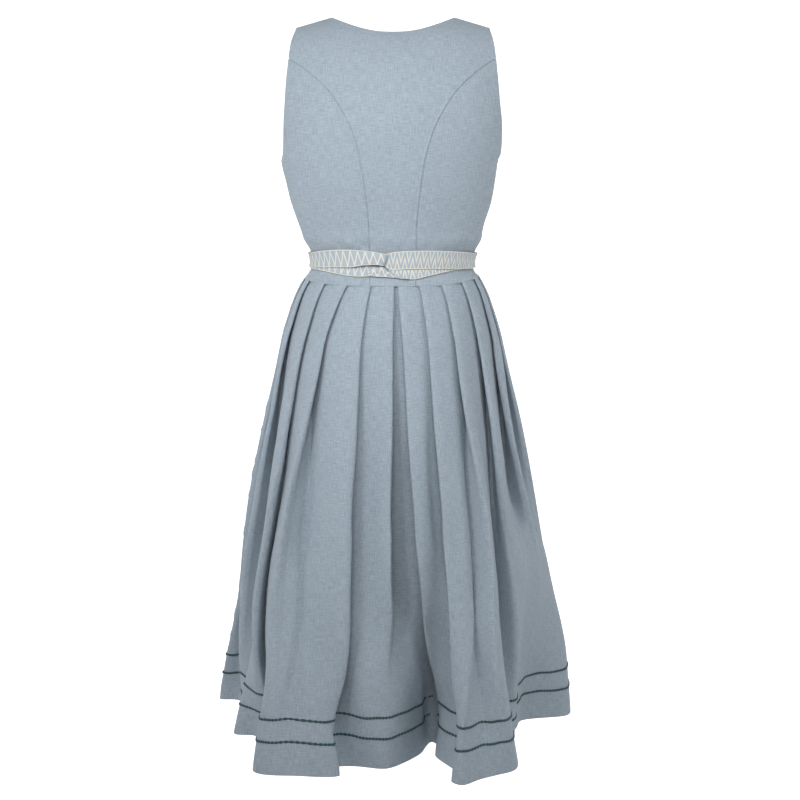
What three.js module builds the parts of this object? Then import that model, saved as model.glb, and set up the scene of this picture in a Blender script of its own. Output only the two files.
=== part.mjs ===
// A sleeveless dirndl held in its worn shape: a panelled bodice with princess seams, a knife-pleated
// skirt and a ribbon belt that crosses at the centre back.
// Millimetres, +Z up. The origin lies midway between the two neck points, on the line of the shoulder
// seams. The dress's back faces -Y and its front +Y; +X is the wearer's right-hand side seen from behind.
import * as THREE from "three";

// ---- driving dimensions ----
const CLOTH = 1.1; // thickness of the linen wall
const RIBBON = 1.0; // thickness of the belt ribbon
const SEAM_GAP = 0.3; // clearance between neighbouring pieces
const BODICE_HEIGHT = 392; // waist seam to neck point
const SKIRT_LENGTH = 684; // waist seam to hem, measured straight down
const PLEATS = 20; // knife pleats round the waist, ten on each side
const SIDE_SEAM = 15.5; // cloth from the centre back to a side seam, which a pleat hides, in pleat pitches
const SQUARENESS = 2.05; // exponent of the rounded cross-sections; 2 is an ellipse
const SHOULDER_HALF = 143; // centre to shoulder point
const NECK_HALF = 90; // centre to neck point
const SHOULDER_FALL = 19; // drop from neck point to shoulder point
const UNDERARM = 182; // height of the underarm point above the waist seam
const DOME = 216; // above this height the sections close over the shoulders
const DOME_ARC = 211; // length of cloth from there to the shoulder seam
const DOME_POWER = 0.6; // how full the shoulders are
const BUST = { out: 15, side: 74, height: 172, wide: 44, tall: 50 };

// Bodice cross-sections: height above the waist seam, half width, depth behind and in front of centre.
const SECTIONS = [
  { height: 0, half: 135, back: 99, front: 99 },
  { height: 8, half: 130, back: 93, front: 93 },
  { height: 18, half: 126, back: 90, front: 90 },
  { height: 28, half: 125, back: 89, front: 89 },
  { height: 44, half: 127.5, back: 90, front: 90 },
  { height: 68, half: 134, back: 92, front: 94 },
  { height: 103, half: 144.5, back: 96, front: 102 },
  { height: 141, half: 156, back: 101, front: 108 },
  { height: 182, half: 163.5, back: 104, front: 112 },
  { height: 216, half: 165.5, back: 105, front: 112 },
  { height: 260, half: 168, back: 104, front: 110 },
  { height: 296, half: 171, back: 103, front: 106 },
  { height: 346, half: 174, back: 103, front: 103 },
  { height: 392, half: 174, back: 103, front: 103 },
];

// Princess seams from the waist up to the armhole: height and distance from the centre line.
const BACK_PRINCESS = [
  { height: 0, out: 34 },
  { height: 14, out: 33.7 },
  { height: 28, out: 33.8 },
  { height: 42, out: 34.2 },
  { height: 58, out: 34.6 },
  { height: 88, out: 35 },
  { height: 130, out: 39.3 },
  { height: 178, out: 46.5 },
  { height: 218, out: 57 },
  { height: 250, out: 72 },
  { height: 279, out: 91 },
  { height: 307, out: 117 },
  { height: 339, out: 151.8 },
];
const FRONT_PRINCESS = [
  { height: 0, out: 50 },
  { height: 14, out: 49.5 },
  { height: 28, out: 49 },
  { height: 42, out: 49.5 },
  { height: 58, out: 51 },
  { height: 88, out: 55 },
  { height: 132, out: 66 },
  { height: 174, out: 74.5 },
  { height: 206, out: 81 },
  { height: 234, out: 92.5 },
  { height: 254, out: 107.5 },
  { height: 270, out: 125.5 },
  { height: 282, out: 147.5 },
];

// Armhole edges from the underarm to the shoulder point: height and distance from the centre line.
const BACK_ARMHOLE = [
  { height: 182, out: 163.5 },
  { height: 190, out: 163.4 },
  { height: 213, out: 162.8 },
  { height: 244, out: 160.8 },
  { height: 272, out: 157.6 },
  { height: 304, out: 155 },
  { height: 339, out: 151.8 },
  { height: 370, out: 147.3 },
  { height: 386, out: 143.6 },
  { height: 392, out: SHOULDER_HALF },
];
const FRONT_ARMHOLE = [
  { height: 182, out: 163.5 },
  { height: 188, out: 163.5 },
  { height: 208, out: 161.5 },
  { height: 244, out: 154.5 },
  { height: 282, out: 147.5 },
  { height: 316, out: 144 },
  { height: 352, out: 142.3 },
  { height: 378, out: 142 },
  { height: 392, out: SHOULDER_HALF },
];

// Necklines from the centre to the neck point: distance from the centre line and height.
const BACK_NECK = [
  { out: 0, height: 362 },
  { out: 20, height: 363.6 },
  { out: 40, height: 368 },
  { out: 60, height: 376.5 },
  { out: 76, height: 385 },
  { out: NECK_HALF, height: 392 },
];
const FRONT_NECK = [
  { out: 0, height: 280 },
  { out: 25, height: 282 },
  { out: 48, height: 292 },
  { out: 67, height: 313 },
  { out: 79, height: 345 },
  { out: NECK_HALF, height: 392 },
];

// The hem's plan: length of cloth from the centre back, to the right, and the place it hangs at.
const HEM = [
  { name: "front_left_ridge_end", cloth: -1070, x: -46, y: 247 },
  { name: "front_left_ridge", cloth: -1024, x: -78, y: 284 },
  { name: "front_left_ridge_start", cloth: -983, x: -116, y: 274 },
  { name: "front_left_valley_end", cloth: -950, x: -124, y: 241 },
  { name: "front_left_valley", cloth: -911, x: -151, y: 212 },
  { name: "left_front_ridge", cloth: -864, x: -194, y: 227 },
  { name: "left_front_ridge_start", cloth: -817, x: -226, y: 192 },
  { name: "left_front_valley_end", cloth: -773, x: -206, y: 152 },
  { name: "left_front_valley", cloth: -729, x: -220, y: 109 },
  { name: "left_side_ridge_end", cloth: -686, x: -267, y: 101 },
  { name: "left_side_ridge", cloth: -640, x: -280, y: 59 },
  { name: "left_side_step", cloth: -600, x: -259, y: 29 },
  { name: "left_side_valley", cloth: -545, x: -233, y: -15 },
  { name: "left_ridge", cloth: -460, x: -243, y: -105 },
  { name: "left_step", cloth: -425, x: -210, y: -116 },
  { name: "left_valley", cloth: -375, x: -190, y: -160 },
  { name: "left_panel_corner", cloth: -318, x: -199, y: -238 },
  { name: "left_panel", cloth: -255, x: -139, y: -257 },
  { name: "left_panel_edge", cloth: -195, x: -79, y: -255 },
  { name: "left_panel_underfold", cloth: -160, x: -94, y: -223 },
  { name: "centre_panel_start", cloth: -118, x: -53, y: -220 },
  { name: "centre_ridge", cloth: -75, x: -8, y: -229 },
  { name: "centre_slope", cloth: -30, x: 35, y: -186 },
  { name: "centre_valley_in", cloth: 8, x: 47, y: -146 },
  { name: "centre_valley", cloth: 32, x: 58, y: -126 },
  { name: "centre_valley_out", cloth: 56, x: 69, y: -148 },
  { name: "right_first_panel", cloth: 95, x: 63, y: -184 },
  { name: "right_first_underfold", cloth: 152, x: 92, y: -244 },
  { name: "right_panel_edge", cloth: 189, x: 82, y: -276 },
  { name: "right_ridge", cloth: 215, x: 98, y: -291 },
  { name: "right_panel", cloth: 260, x: 133, y: -261 },
  { name: "right_panel_corner", cloth: 314, x: 177, y: -229 },
  { name: "right_valley_in", cloth: 372, x: 180, y: -163 },
  { name: "right_valley", cloth: 450, x: 196, y: -77 },
  { name: "right_valley_out", cloth: 505, x: 220, y: -36 },
  { name: "right_side_ridge", cloth: 575, x: 268, y: -14 },
  { name: "right_side", cloth: 620, x: 280, y: 25 },
  { name: "right_side_ridge_end", cloth: 665, x: 266, y: 64 },
  { name: "right_front_valley", cloth: 704, x: 232, y: 82 },
  { name: "right_front_valley_end", cloth: 740, x: 220, y: 115 },
  { name: "right_front_ridge_start", cloth: 788, x: 248, y: 146 },
  { name: "right_front_ridge", cloth: 838, x: 227, y: 191 },
  { name: "front_right_valley", cloth: 888, x: 180, y: 194 },
  { name: "front_right_valley_end", cloth: 928, x: 155, y: 222 },
  { name: "front_right_ridge_start", cloth: 968, x: 151, y: 262 },
  { name: "front_right_ridge", cloth: 1014, x: 110, y: 276 },
  { name: "front_right_ridge_end", cloth: 1064, x: 73, y: 243 },
  { name: "centre_front", cloth: 1112, x: 27, y: 237 },
];

// Depths below the waist seam at which the skirt has a ring of points.
const SKIRT_RINGS = [0.3, 14, 38, 85, 160, 255, 360, 468, 552, 594, 622, 652, SKIRT_LENGTH];
const FOLD_SPACING = 2.3; // between the middles of the cloth layers of a pressed pleat
const FOLD_PUFF = 4; // how much further apart the layers stand half way down
const CENTRE_FOLDS = { left: 1, right: 6 }; // how far the two folds at the centre back stand from it
// How far the skirt bells out past a straight cone, at shares of the way down to the hem.
const FLARE = [
  { fallen: 0, out: 0 },
  { fallen: 0.02, out: 6.5 },
  { fallen: 0.041, out: 11.5 },
  { fallen: 0.085, out: 18 },
  { fallen: 0.13, out: 23 },
  { fallen: 0.285, out: 32 },
  { fallen: 0.42, out: 37 },
  { fallen: 0.56, out: 39 },
  { fallen: 0.65, out: 36 },
  { fallen: 0.745, out: 28 },
  { fallen: 0.84, out: 19 },
  { fallen: 0.93, out: 8 },
  { fallen: 1, out: 0 },
];
const FREE = 0.8; // share of the skirt's length at which the last of the pleats starts to open flat
const CALM = 130; // cloth over which the hem's waves are evened out half way up
const CREASE = 2.3; // half the cloth that turns round a fold at the waist
const SOFT_CREASE = 12; // and at the hem

// The belt's two strands: place along the waist from the centre back, height of the middle of the ribbon
// above the waist seam, its width, and how far its middle stands off the bodice cloth.
const BELT_NEAR = 1.8;
const BELT_FAR = 3.9;
const BELT_OVER_STRAND = {
  right: [
    { at: 362, mid: 34.5, width: 24.5, off: BELT_NEAR },
    { at: 160, mid: 33.5, width: 24.5, off: BELT_NEAR },
    { at: 100, mid: 33, width: 24.5, off: BELT_NEAR },
    { at: 64, mid: 28, width: 24.5, off: BELT_NEAR },
    { at: 27, mid: 22.5, width: 24.5, off: BELT_NEAR },
    { at: 9, mid: 22.5, width: 18, off: 1.8 },
    { at: -2, mid: 23.5, width: 10, off: 3.4 },
    { at: -9, mid: 28, width: 9, off: 5.5 },
    { at: -15, mid: 32, width: 9, off: 6.1 },
  ],
  left: [
    { at: -15.4, mid: 32.3, width: 9, off: 6.1 },
    { at: -24, mid: 36.5, width: 11, off: 5.7 },
    { at: -35, mid: 40, width: 18, off: 4.9 },
    { at: -57, mid: 41, width: 24.5, off: 4.3 },
    { at: -106, mid: 38.5, width: 24.5, off: BELT_FAR },
    { at: -160, mid: 34.5, width: 24.5, off: BELT_FAR },
    { at: -340, mid: 34.5, width: 24.5, off: BELT_FAR },
    { at: -355, mid: 34.5, width: 24.5, off: 5.7 },
    { at: -391, mid: 34.5, width: 24.5, off: 5.7 },
  ],
};
const BELT_UNDER_STRAND = {
  left: [
    { at: -362, mid: 34.5, width: 24.5, off: BELT_NEAR },
    { at: -160, mid: 32.5, width: 24.5, off: BELT_NEAR },
    { at: -112, mid: 31, width: 24.5, off: BELT_NEAR },
    { at: -70, mid: 28.5, width: 24.5, off: BELT_NEAR },
    { at: -46, mid: 26, width: 20, off: BELT_NEAR },
    { at: -33, mid: 25, width: 12, off: 1.9 },
    { at: -23, mid: 28, width: 9, off: 2.2 },
    { at: -15, mid: 32, width: 9, off: 2.4 },
  ],
  right: [
    { at: -14.6, mid: 32.3, width: 9, off: 2.4 },
    { at: -8, mid: 38, width: 9, off: 2.6 },
    { at: 0, mid: 41.5, width: 14, off: 3.3 },
    { at: 15, mid: 41, width: 24, off: 3.9 },
    { at: 38, mid: 39.5, width: 24.5, off: BELT_FAR },
    { at: 89, mid: 37.5, width: 24.5, off: BELT_FAR },
    { at: 160, mid: 34, width: 24.5, off: BELT_FAR },
    { at: 359, mid: 34.5, width: 24.5, off: BELT_FAR },
  ],
};
const BELT_STEP = 13; // between sections along a strand

// ---- helpers ----
const clamp = (value, low, high) => Math.min(high, Math.max(low, value));
const mix = (a, b, share) => a + (b - a) * share;

// A smooth curve through a table's rows: column as a function of the rising column `along`.
function curve(rows, along, column) {
  const x = rows.map((row) => row[along]);
  const y = rows.map((row) => row[column]);
  const last = x.length - 1;
  const slope = x.map((_, i) => {
    const before = Math.max(i - 1, 0);
    const after = Math.min(i + 1, last);
    return (y[after] - y[before]) / (x[after] - x[before]);
  });
  return (at) => {
    const q = clamp(at, x[0], x[last]);
    let i = 0;
    while (i < last - 1 && q > x[i + 1]) i += 1;
    const wide = x[i + 1] - x[i];
    const t = (q - x[i]) / wide;
    const rise = y[i + 1] - y[i];
    const bend = t * (1 - t) * ((1 - t) * (slope[i] * wide - rise) - t * (slope[i + 1] * wide - rise));
    return y[i] + rise * t + bend;
  };
}

// A closed wall between two equal grids of points, outer[row][column] and inner[row][column].
function wall(outer, inner) {
  const rows = outer.length;
  const columns = outer[0].length;
  const points = [...outer.flat(), ...inner.flat()];
  const out = (r, c) => r * columns + c;
  const within = (r, c) => rows * columns + r * columns + c;
  const faces = [];
  const quad = (a, b, c, d) => faces.push(a, b, c, a, c, d);
  for (let r = 0; r < rows - 1; r += 1) {
    for (let c = 0; c < columns - 1; c += 1) {
      quad(out(r, c), out(r, c + 1), out(r + 1, c + 1), out(r + 1, c));
      quad(within(r, c), within(r + 1, c), within(r + 1, c + 1), within(r, c + 1));
    }
  }
  for (let c = 0; c < columns - 1; c += 1) {
    quad(within(0, c), within(0, c + 1), out(0, c + 1), out(0, c));
    quad(out(rows - 1, c), out(rows - 1, c + 1), within(rows - 1, c + 1), within(rows - 1, c));
  }
  for (let r = 0; r < rows - 1; r += 1) {
    quad(out(r + 1, 0), within(r + 1, 0), within(r, 0), out(r, 0));
    quad(within(r, columns - 1), within(r + 1, columns - 1), out(r + 1, columns - 1), out(r, columns - 1));
  }
  const geometry = new THREE.BufferGeometry();
  geometry.setAttribute("position", new THREE.Float32BufferAttribute(points.flatMap((p) => p.toArray()), 3));
  geometry.setIndex(volume(points, faces) < 0 ? faces.reverse() : faces);
  geometry.computeVertexNormals();
  return geometry;
}

function volume(points, faces) {
  let sum = 0;
  for (let i = 0; i < faces.length; i += 3) {
    const [a, b, c] = [points[faces[i]], points[faces[i + 1]], points[faces[i + 2]]];
    sum += a.dot(new THREE.Vector3().crossVectors(b, c)) / 6;
  }
  return sum;
}

// ---- the bodice's surface ----
const halfAt = curve(SECTIONS, "height", "half");
const backAt = curve(SECTIONS, "height", "back");
const frontAt = curve(SECTIONS, "height", "front");
const DOME_RISE = BODICE_HEIGHT - DOME;
const GIRTH_TOP = DOME + DOME_ARC; // the shoulder seam, measured up the cloth

// Heights are turned into lengths up the cloth, so that the sections close smoothly over the shoulders.
function upCloth(height) {
  if (height <= DOME) return height;
  return DOME + (DOME_ARC * Math.asin(clamp((height - DOME) / DOME_RISE, 0, 1))) / (Math.PI / 2);
}

// A point of the middle of the bodice's cloth. turn is -90 degrees at the centre back, 0 at the right side
// and 90 at the centre front; up is the length of cloth above the waist seam.
function bodicePoint(turn, up) {
  const lean = up > DOME ? ((up - DOME) / DOME_ARC) * (Math.PI / 2) : 0;
  const height = up > DOME ? DOME + DOME_RISE * Math.sin(lean) : up;
  const closing = Math.max(Math.cos(lean), 0) ** (2 * DOME_POWER);
  const [c, s] = [Math.cos(turn), Math.sin(turn)];
  const size = (Math.abs(c) ** SQUARENESS + Math.abs(s) ** SQUARENESS) ** (-1 / SQUARENESS);
  const x = halfAt(height) * c * size;
  let y = (s < 0 ? backAt(height) : frontAt(height)) * closing * s * size;
  if (s > 0) {
    const side = (Math.abs(x) - BUST.side) / BUST.wide;
    const rise = (height - BUST.height) / BUST.tall;
    y += BUST.out * s * Math.exp(-(side * side + rise * rise) / 2);
  }
  const nearTop = Math.sin(lean) ** 2;
  const fall = (SHOULDER_FALL * Math.max(0, Math.abs(x) - NECK_HALF)) / (SHOULDER_HALF - NECK_HALF);
  return new THREE.Vector3(x, y, height - fall * nearTop - BODICE_HEIGHT);
}

function bodiceNormal(turn, up) {
  const step = 1e-3;
  const low = Math.min(up, GIRTH_TOP - 0.5);
  const across = bodicePoint(turn + step, low).sub(bodicePoint(turn - step, low));
  const along = bodicePoint(turn, low + 0.2).sub(bodicePoint(turn, low - 0.2));
  return across.cross(along).normalize();
}

// The turn at which the section at a height is `out` from the centre line; facing is -1 behind, 1 in front.
function turnAt(out, height, facing) {
  const share = clamp(Math.abs(out) / halfAt(height), 0, 1) ** SQUARENESS;
  const turn = Math.atan2((1 - share) ** (1 / SQUARENESS), share ** (1 / SQUARENESS));
  return facing * (out < 0 ? Math.PI - turn : turn);
}

// An edge of a panel as [turn, up] pairs from rows of height and distance, on the side given by hand (1 or -1).
function edge(rows, hand, facing) {
  return rows.map(({ height, out }) => [turnAt(hand * out, height, facing), upCloth(height)]);
}

// The same edge table with evenly spread rows, `pieces` + 1 of them.
function respaced(rows, pieces) {
  const table = rows.map((row, step) => ({ ...row, step }));
  const [height, out] = ["height", "out"].map((column) => curve(table, "step", column));
  const at = (k) => (k / pieces) * (rows.length - 1);
  return Array.from({ length: pieces + 1 }, (_, k) => ({ height: height(at(k)), out: out(at(k)) }));
}

function spaced(from, to, pieces) {
  return Array.from({ length: pieces + 1 }, (_, i) => from.map((value, k) => mix(value, to[k], i / pieces)));
}

// A grid of [turn, up] pairs that fills the space between four edges. The rows run straight from side
// to side, and take up the top edge's dips and corners only as they near it.
function patch(bottom, top, left, right) {
  const [columns, rows] = [bottom.length, left.length];
  return left.map((_, r) =>
    bottom.map((__, c) => {
      const [u, v] = [c / (columns - 1), r / (rows - 1)];
      return [0, 1].map((k) => {
        const foot = bottom[c][k] - mix(bottom[0][k], bottom[columns - 1][k], u);
        const head = top[c][k] - mix(top[0][k], top[columns - 1][k], u);
        return mix(left[r][k], right[r][k], u) + foot * (1 - v) + head * v ** EDGE_PULL;
      });
    }),
  );
}

// Pulls the rim of a grid of points in by half the seam gap.
function inset(grid) {
  const [rows, columns] = [grid.length, grid[0].length];
  const pull = (r, c, inR, inC) => {
    const towards = grid[inR][inC].point.clone().sub(grid[r][c].point).setLength(SEAM_GAP / 2);
    grid[r][c].shift.add(towards);
  };
  for (let c = 0; c < columns; c += 1) {
    pull(0, c, 1, c);
    pull(rows - 1, c, rows - 2, c);
  }
  for (let r = 0; r < rows; r += 1) {
    pull(r, 0, r, 1);
    pull(r, columns - 1, r, columns - 2);
  }
}

function panel(name, colour, grid) {
  const cells = grid.map((row) =>
    row.map(([turn, up]) => ({
      point: bodicePoint(turn, up),
      normal: bodiceNormal(turn, up),
      shift: new THREE.Vector3(),
    })),
  );
  inset(cells);
  const layer = (off) =>
    cells.map((row) => row.map((cell) => cell.point.clone().add(cell.shift).addScaledVector(cell.normal, off)));
  return named(name, wall(layer(CLOTH / 2), layer(-CLOTH / 2)), colour);
}

function named(name, geometry, material) {
  const mesh = new THREE.Mesh(geometry, material);
  mesh.name = name;
  return mesh;
}

// ---- bodice panels ----
const SHOULDER_PIECES = 3;
const FRONT_PIECES = 7;
const EDGE_PULL = 6;
const linen = new THREE.MeshStandardMaterial({ color: 0x9aaab8, roughness: 0.95, metalness: 0 });
const ribbon = new THREE.MeshStandardMaterial({ color: 0xc3c8c4, roughness: 0.85, metalness: 0 });

// The part of an armhole above a height, where the princess seam meets it, or below.
const above = (rows, height) => rows.filter((row) => row.height > height);
const below = (rows, height) => rows.filter((row) => row.height <= height);
const topOf = (rows) => rows[rows.length - 1];

function shoulderLine(hand, facing) {
  const at = (out) => [turnAt(hand * out, BODICE_HEIGHT, facing), GIRTH_TOP];
  return spaced(at(SHOULDER_HALF), at(NECK_HALF), SHOULDER_PIECES);
}

function neckLine(rows, hand, facing) {
  return edge(rows, hand, facing).reverse(); // from the neck point to the centre
}

// Places along the waist seam, evenly spaced in turn.
function waistLine(from, to, pieces) {
  return spaced([from, 0], [to, 0], pieces);
}

function backCentre() {
  const seamTop = topOf(BACK_PRINCESS).height;
  const side = (hand) => [...edge(BACK_PRINCESS, hand, -1), ...edge(above(BACK_ARMHOLE, seamTop), hand, -1)];
  const half = (hand) => [...shoulderLine(hand, -1), ...neckLine(BACK_NECK, hand, -1).slice(1)];
  const top = [...half(-1), ...half(1).reverse().slice(1)];
  const foot = BACK_PRINCESS[0].out;
  const bottom = waistLine(turnAt(-foot, 0, -1), turnAt(foot, 0, -1), top.length - 1);
  return panel("bodice_back_centre", linen, patch(bottom, top, side(-1), side(1)));
}

const SIDE_PIECES = 9;
const BELTED = 58; // up to this height the side panels' rows stay level, for the belt to lie on

// The side panels run from a princess seam to the side seam, under the arm.
function sidePanel(name, princess, armhole, hand, facing) {
  const seamTop = topOf(princess).height;
  const seam = edge(princess, hand, facing);
  const sideTurn = hand > 0 ? 0 : facing * Math.PI;
  const level = (height) => mix(BELTED, UNDERARM, (height - BELTED) / (seamTop - BELTED));
  const sideSeam = princess.map(({ height }) => [sideTurn, height > BELTED ? level(height) : height]);
  const top = edge(respaced(below(armhole, seamTop), SIDE_PIECES), hand, facing).reverse();
  const bottom = waistLine(seam[0][0], sideTurn, SIDE_PIECES);
  return panel(name, linen, patch(bottom, top, seam, sideSeam));
}

// The front panels' rows are level. They start on the centre line and, above its foot, on the neck's edge.
function frontPanel(name, hand) {
  const seamTop = topOf(FRONT_PRINCESS).height;
  const [seamAt, armholeAt, neckAt] = [FRONT_PRINCESS, FRONT_ARMHOLE, FRONT_NECK].map((rows) =>
    curve(rows, "height", "out"),
  );
  const tables = [FRONT_PRINCESS, FRONT_NECK, above(FRONT_ARMHOLE, seamTop)];
  const heights = [...new Set(tables.flat().map((row) => row.height))].sort((a, b) => a - b);
  const grid = heights.map((height) => {
    const inner = height > FRONT_NECK[0].height ? neckAt(height) : 0;
    const outer = height > seamTop ? armholeAt(height) : seamAt(height);
    const up = upCloth(height);
    return spaced([turnAt(hand * inner, height, 1), up], [turnAt(hand * outer, height, 1), up], FRONT_PIECES);
  });
  return panel(name, linen, grid);
}

// ---- the skirt ----
const HEM_CLOTH = { first: HEM[0].cloth, last: topOf(HEM).cloth };
const waistRing = measuredRing(720);
const WAIST = waistRing.length;
const CLOTH_WIDTH = 3 * WAIST; // full knife pleats take three times the waist
const PITCH = WAIST / PLEATS;

// The waist seam's outline with the length round it from the centre back.
function measuredRing(pieces) {
  const points = Array.from({ length: pieces + 1 }, (_, i) =>
    bodicePoint(-Math.PI / 2 + (2 * Math.PI * i) / pieces, 0),
  );
  const along = [0];
  for (let i = 1; i <= pieces; i += 1) along.push(along[i - 1] + points[i].distanceTo(points[i - 1]));
  return { points, along, length: along[pieces] };
}

// The place on the waist seam a share of the way round, from the centre back to the right.
function waistPlace(share) {
  const { points, along, length } = waistRing;
  const want = (share - Math.floor(share)) * length;
  let [low, high] = [0, along.length - 1];
  while (high - low > 1) {
    const middle = (low + high) >> 1;
    if (along[middle] <= want) low = middle;
    else high = middle;
  }
  const t = (want - along[low]) / (along[high] - along[low]);
  return [mix(points[low].x, points[high].x, t), mix(points[low].y, points[high].y, t)];
}

// The hem's table, carried on past its ends so that the curve closes.
const HEM_ROUND = 2264; // the cloth that the table was laid out for
const hemRows = [
  ...HEM.slice(-3).map((row) => ({ ...row, cloth: row.cloth - HEM_ROUND })),
  ...HEM,
  ...HEM.slice(0, 3).map((row) => ({ ...row, cloth: row.cloth + HEM_ROUND })),
];
const hemX = curve(hemRows, "cloth", "x");
const hemY = curve(hemRows, "cloth", "y");

function hemPlace(share) {
  const cloth = (share - Math.round(share)) * HEM_ROUND;
  return [hemX(cloth), hemY(cloth)];
}

// The hem's outline with its waves evened out over a length of cloth.
function calmHem(share, calm) {
  const taken = TAPS.map((tap) => hemPlace(share + (tap * calm) / HEM_ROUND));
  return [0, 1].map((k) => taken.reduce((sum, place) => sum + place[k], 0) / taken.length);
}

const flareAt = curve(FLARE, "fallen", "out");

// The outline that the pleats lie on, a share of the way round and fallen a share of the way to the hem.
function basePlace(share, fallen) {
  const [waistX, waistY] = waistPlace(share);
  const [hx, hy] = calmHem(share, CALM * clamp(2 * (1 - fallen), 0, 1));
  const [x, y] = [mix(waistX, hx, fallen), mix(waistY, hy, fallen)];
  const grow = 1 + flareAt(fallen) / Math.hypot(x, y);
  return [x * grow, y * grow];
}

// A pleat's fold at the waist, for cloth measured away from the centre back: how far round the waist it
// lies, and how many layers deep. The pleats lie over one another like shingles, so that each panel goes
// from layer 0 at its own fold to 2 under the next fold and 4 at its inner end. Each return lies between.
function foldedAway(cloth, firstFold) {
  const start = (pleat) => (pleat === 0 ? firstFold : pleat * PITCH);
  if (cloth < PITCH) return { place: cloth, layer: 2 + (2 * cloth) / PITCH };
  const pleat = Math.floor((cloth - 2 * PITCH) / (3 * PITCH));
  const into = cloth - 2 * PITCH - pleat * 3 * PITCH;
  const inner = (pleat + 2) * PITCH;
  if (pleat >= PLEATS / 2 - 1) return { place: start(pleat) + into, layer: 0 };
  if (into < 2 * PITCH) {
    return { place: mix(start(pleat), inner, into / (2 * PITCH)), layer: (2 * into) / PITCH };
  }
  const back = (into - 2 * PITCH) / PITCH;
  return { place: mix(inner, start(pleat + 1), back), layer: 3 - 2 * back };
}

function folded(cloth) {
  const { place, layer } = foldedAway(Math.abs(cloth), cloth < 0 ? CENTRE_FOLDS.left : CENTRE_FOLDS.right);
  return { place: Math.sign(cloth) * place, layer };
}

const TAPS = [-1, -0.6, -0.2, 0.2, 0.6, 1];

// Half the cloth that turns round a fold; pressed sharp at the waist, it softens further down.
const turnLength = (fallen) => mix(CREASE, SOFT_CREASE, fallen ** 1.5);

// The fold, rounded over the stretch of cloth that turns round it.
function rounded(cloth, turning) {
  const taken = TAPS.map((tap) => folded(cloth + tap * turning));
  const mean = (key) => taken.reduce((sum, fold) => sum + fold[key], 0) / taken.length;
  return { place: mean("place"), layer: mean("layer") };
}

// Where the cloth lies, as [x, y], for a length of cloth and a share fallen; opened is how far its pleats
// have opened, from 0 pressed to 1 flat.
function clothPlace(cloth, fallen, opened) {
  const fold = rounded(cloth, turnLength(fallen));
  const share = mix(fold.place / WAIST, cloth / CLOTH_WIDTH, opened);
  const spacing = (FOLD_SPACING + FOLD_PUFF * Math.sqrt(Math.sin(Math.PI * fallen))) * (1 - fallen ** 10);
  const [x, y] = basePlace(share, fallen);
  const [ax, ay] = basePlace(share - 6e-3, fallen);
  const [bx, by] = basePlace(share + 6e-3, fallen);
  const size = Math.hypot(bx - ax, by - ay);
  const off = fold.layer * spacing;
  return [x - (off * (by - ay)) / size, y + (off * (bx - ax)) / size];
}

function ringLength(fallen, opened) {
  const pieces = 600;
  let [sum, before] = [0, clothPlace(-CLOTH_WIDTH / 2, fallen, opened)];
  for (let i = 1; i <= pieces; i += 1) {
    const place = clothPlace(CLOTH_WIDTH * (i / pieces - 0.5), fallen, opened);
    sum += Math.hypot(place[0] - before[0], place[1] - before[1]);
    before = place;
  }
  return sum;
}

// Cloth doesn't stretch, so at each depth the pleats have opened just far enough to use all of its width.
// Near the hem they open out altogether.
function openedAt(fallen) {
  if (fallen > FREE) return mix(openedAt(FREE), 1, (fallen - FREE) / (1 - FREE));
  let [low, high] = [0, 1];
  for (let i = 0; i < 14; i += 1) {
    const middle = (low + high) / 2;
    if (ringLength(fallen, middle) > CLOTH_WIDTH) low = middle;
    else high = middle;
  }
  return low;
}

// The columns of points along the cloth from one side seam to the other. Each is a place along the cloth
// and how much it is moved along, in step with the rounding of the folds, as they soften further down.
function clothColumns(from, to) {
  const marks = [];
  const fold = (cloth) => [-1, 0, 1].forEach((spread) => marks.push({ cloth, spread }));
  for (let pleat = 0; pleat < PLEATS / 2; pleat += 1) {
    const start = (3 * pleat + 2) * PITCH;
    fold(start);
    for (const share of [0.5, 1.0, 1.5]) marks.push({ cloth: start + share * PITCH, spread: 0 });
    fold(start + 2 * PITCH);
    marks.push({ cloth: start + 2.5 * PITCH, spread: 0 });
  }
  fold(PITCH);
  for (const share of [0.33, 0.6, 1.5]) marks.push({ cloth: share * PITCH, spread: 0 });
  const mirrored = marks.map(({ cloth, spread }) => ({ cloth: -cloth, spread: -spread }));
  const half = CLOTH_WIDTH / 2;
  const round = [{ cloth: 0, spread: 0 }, ...marks, ...mirrored].filter(({ cloth }) => Math.abs(cloth) < half);
  const twice = [...round, { cloth: half, spread: 0 }, ...round.map((m) => ({ ...m, cloth: m.cloth + 2 * half }))];
  const inner = twice.filter(({ cloth }) => cloth > from + 6 && cloth < to - 6);
  inner.sort((a, b) => a.cloth + a.spread - b.cloth - b.spread);
  const ends = [from, from + 2.5, to - 2.5, to].map((cloth) => ({ cloth, spread: 0 }));
  return [...ends.slice(0, 2), ...inner, ...ends.slice(2)];
}

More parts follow.
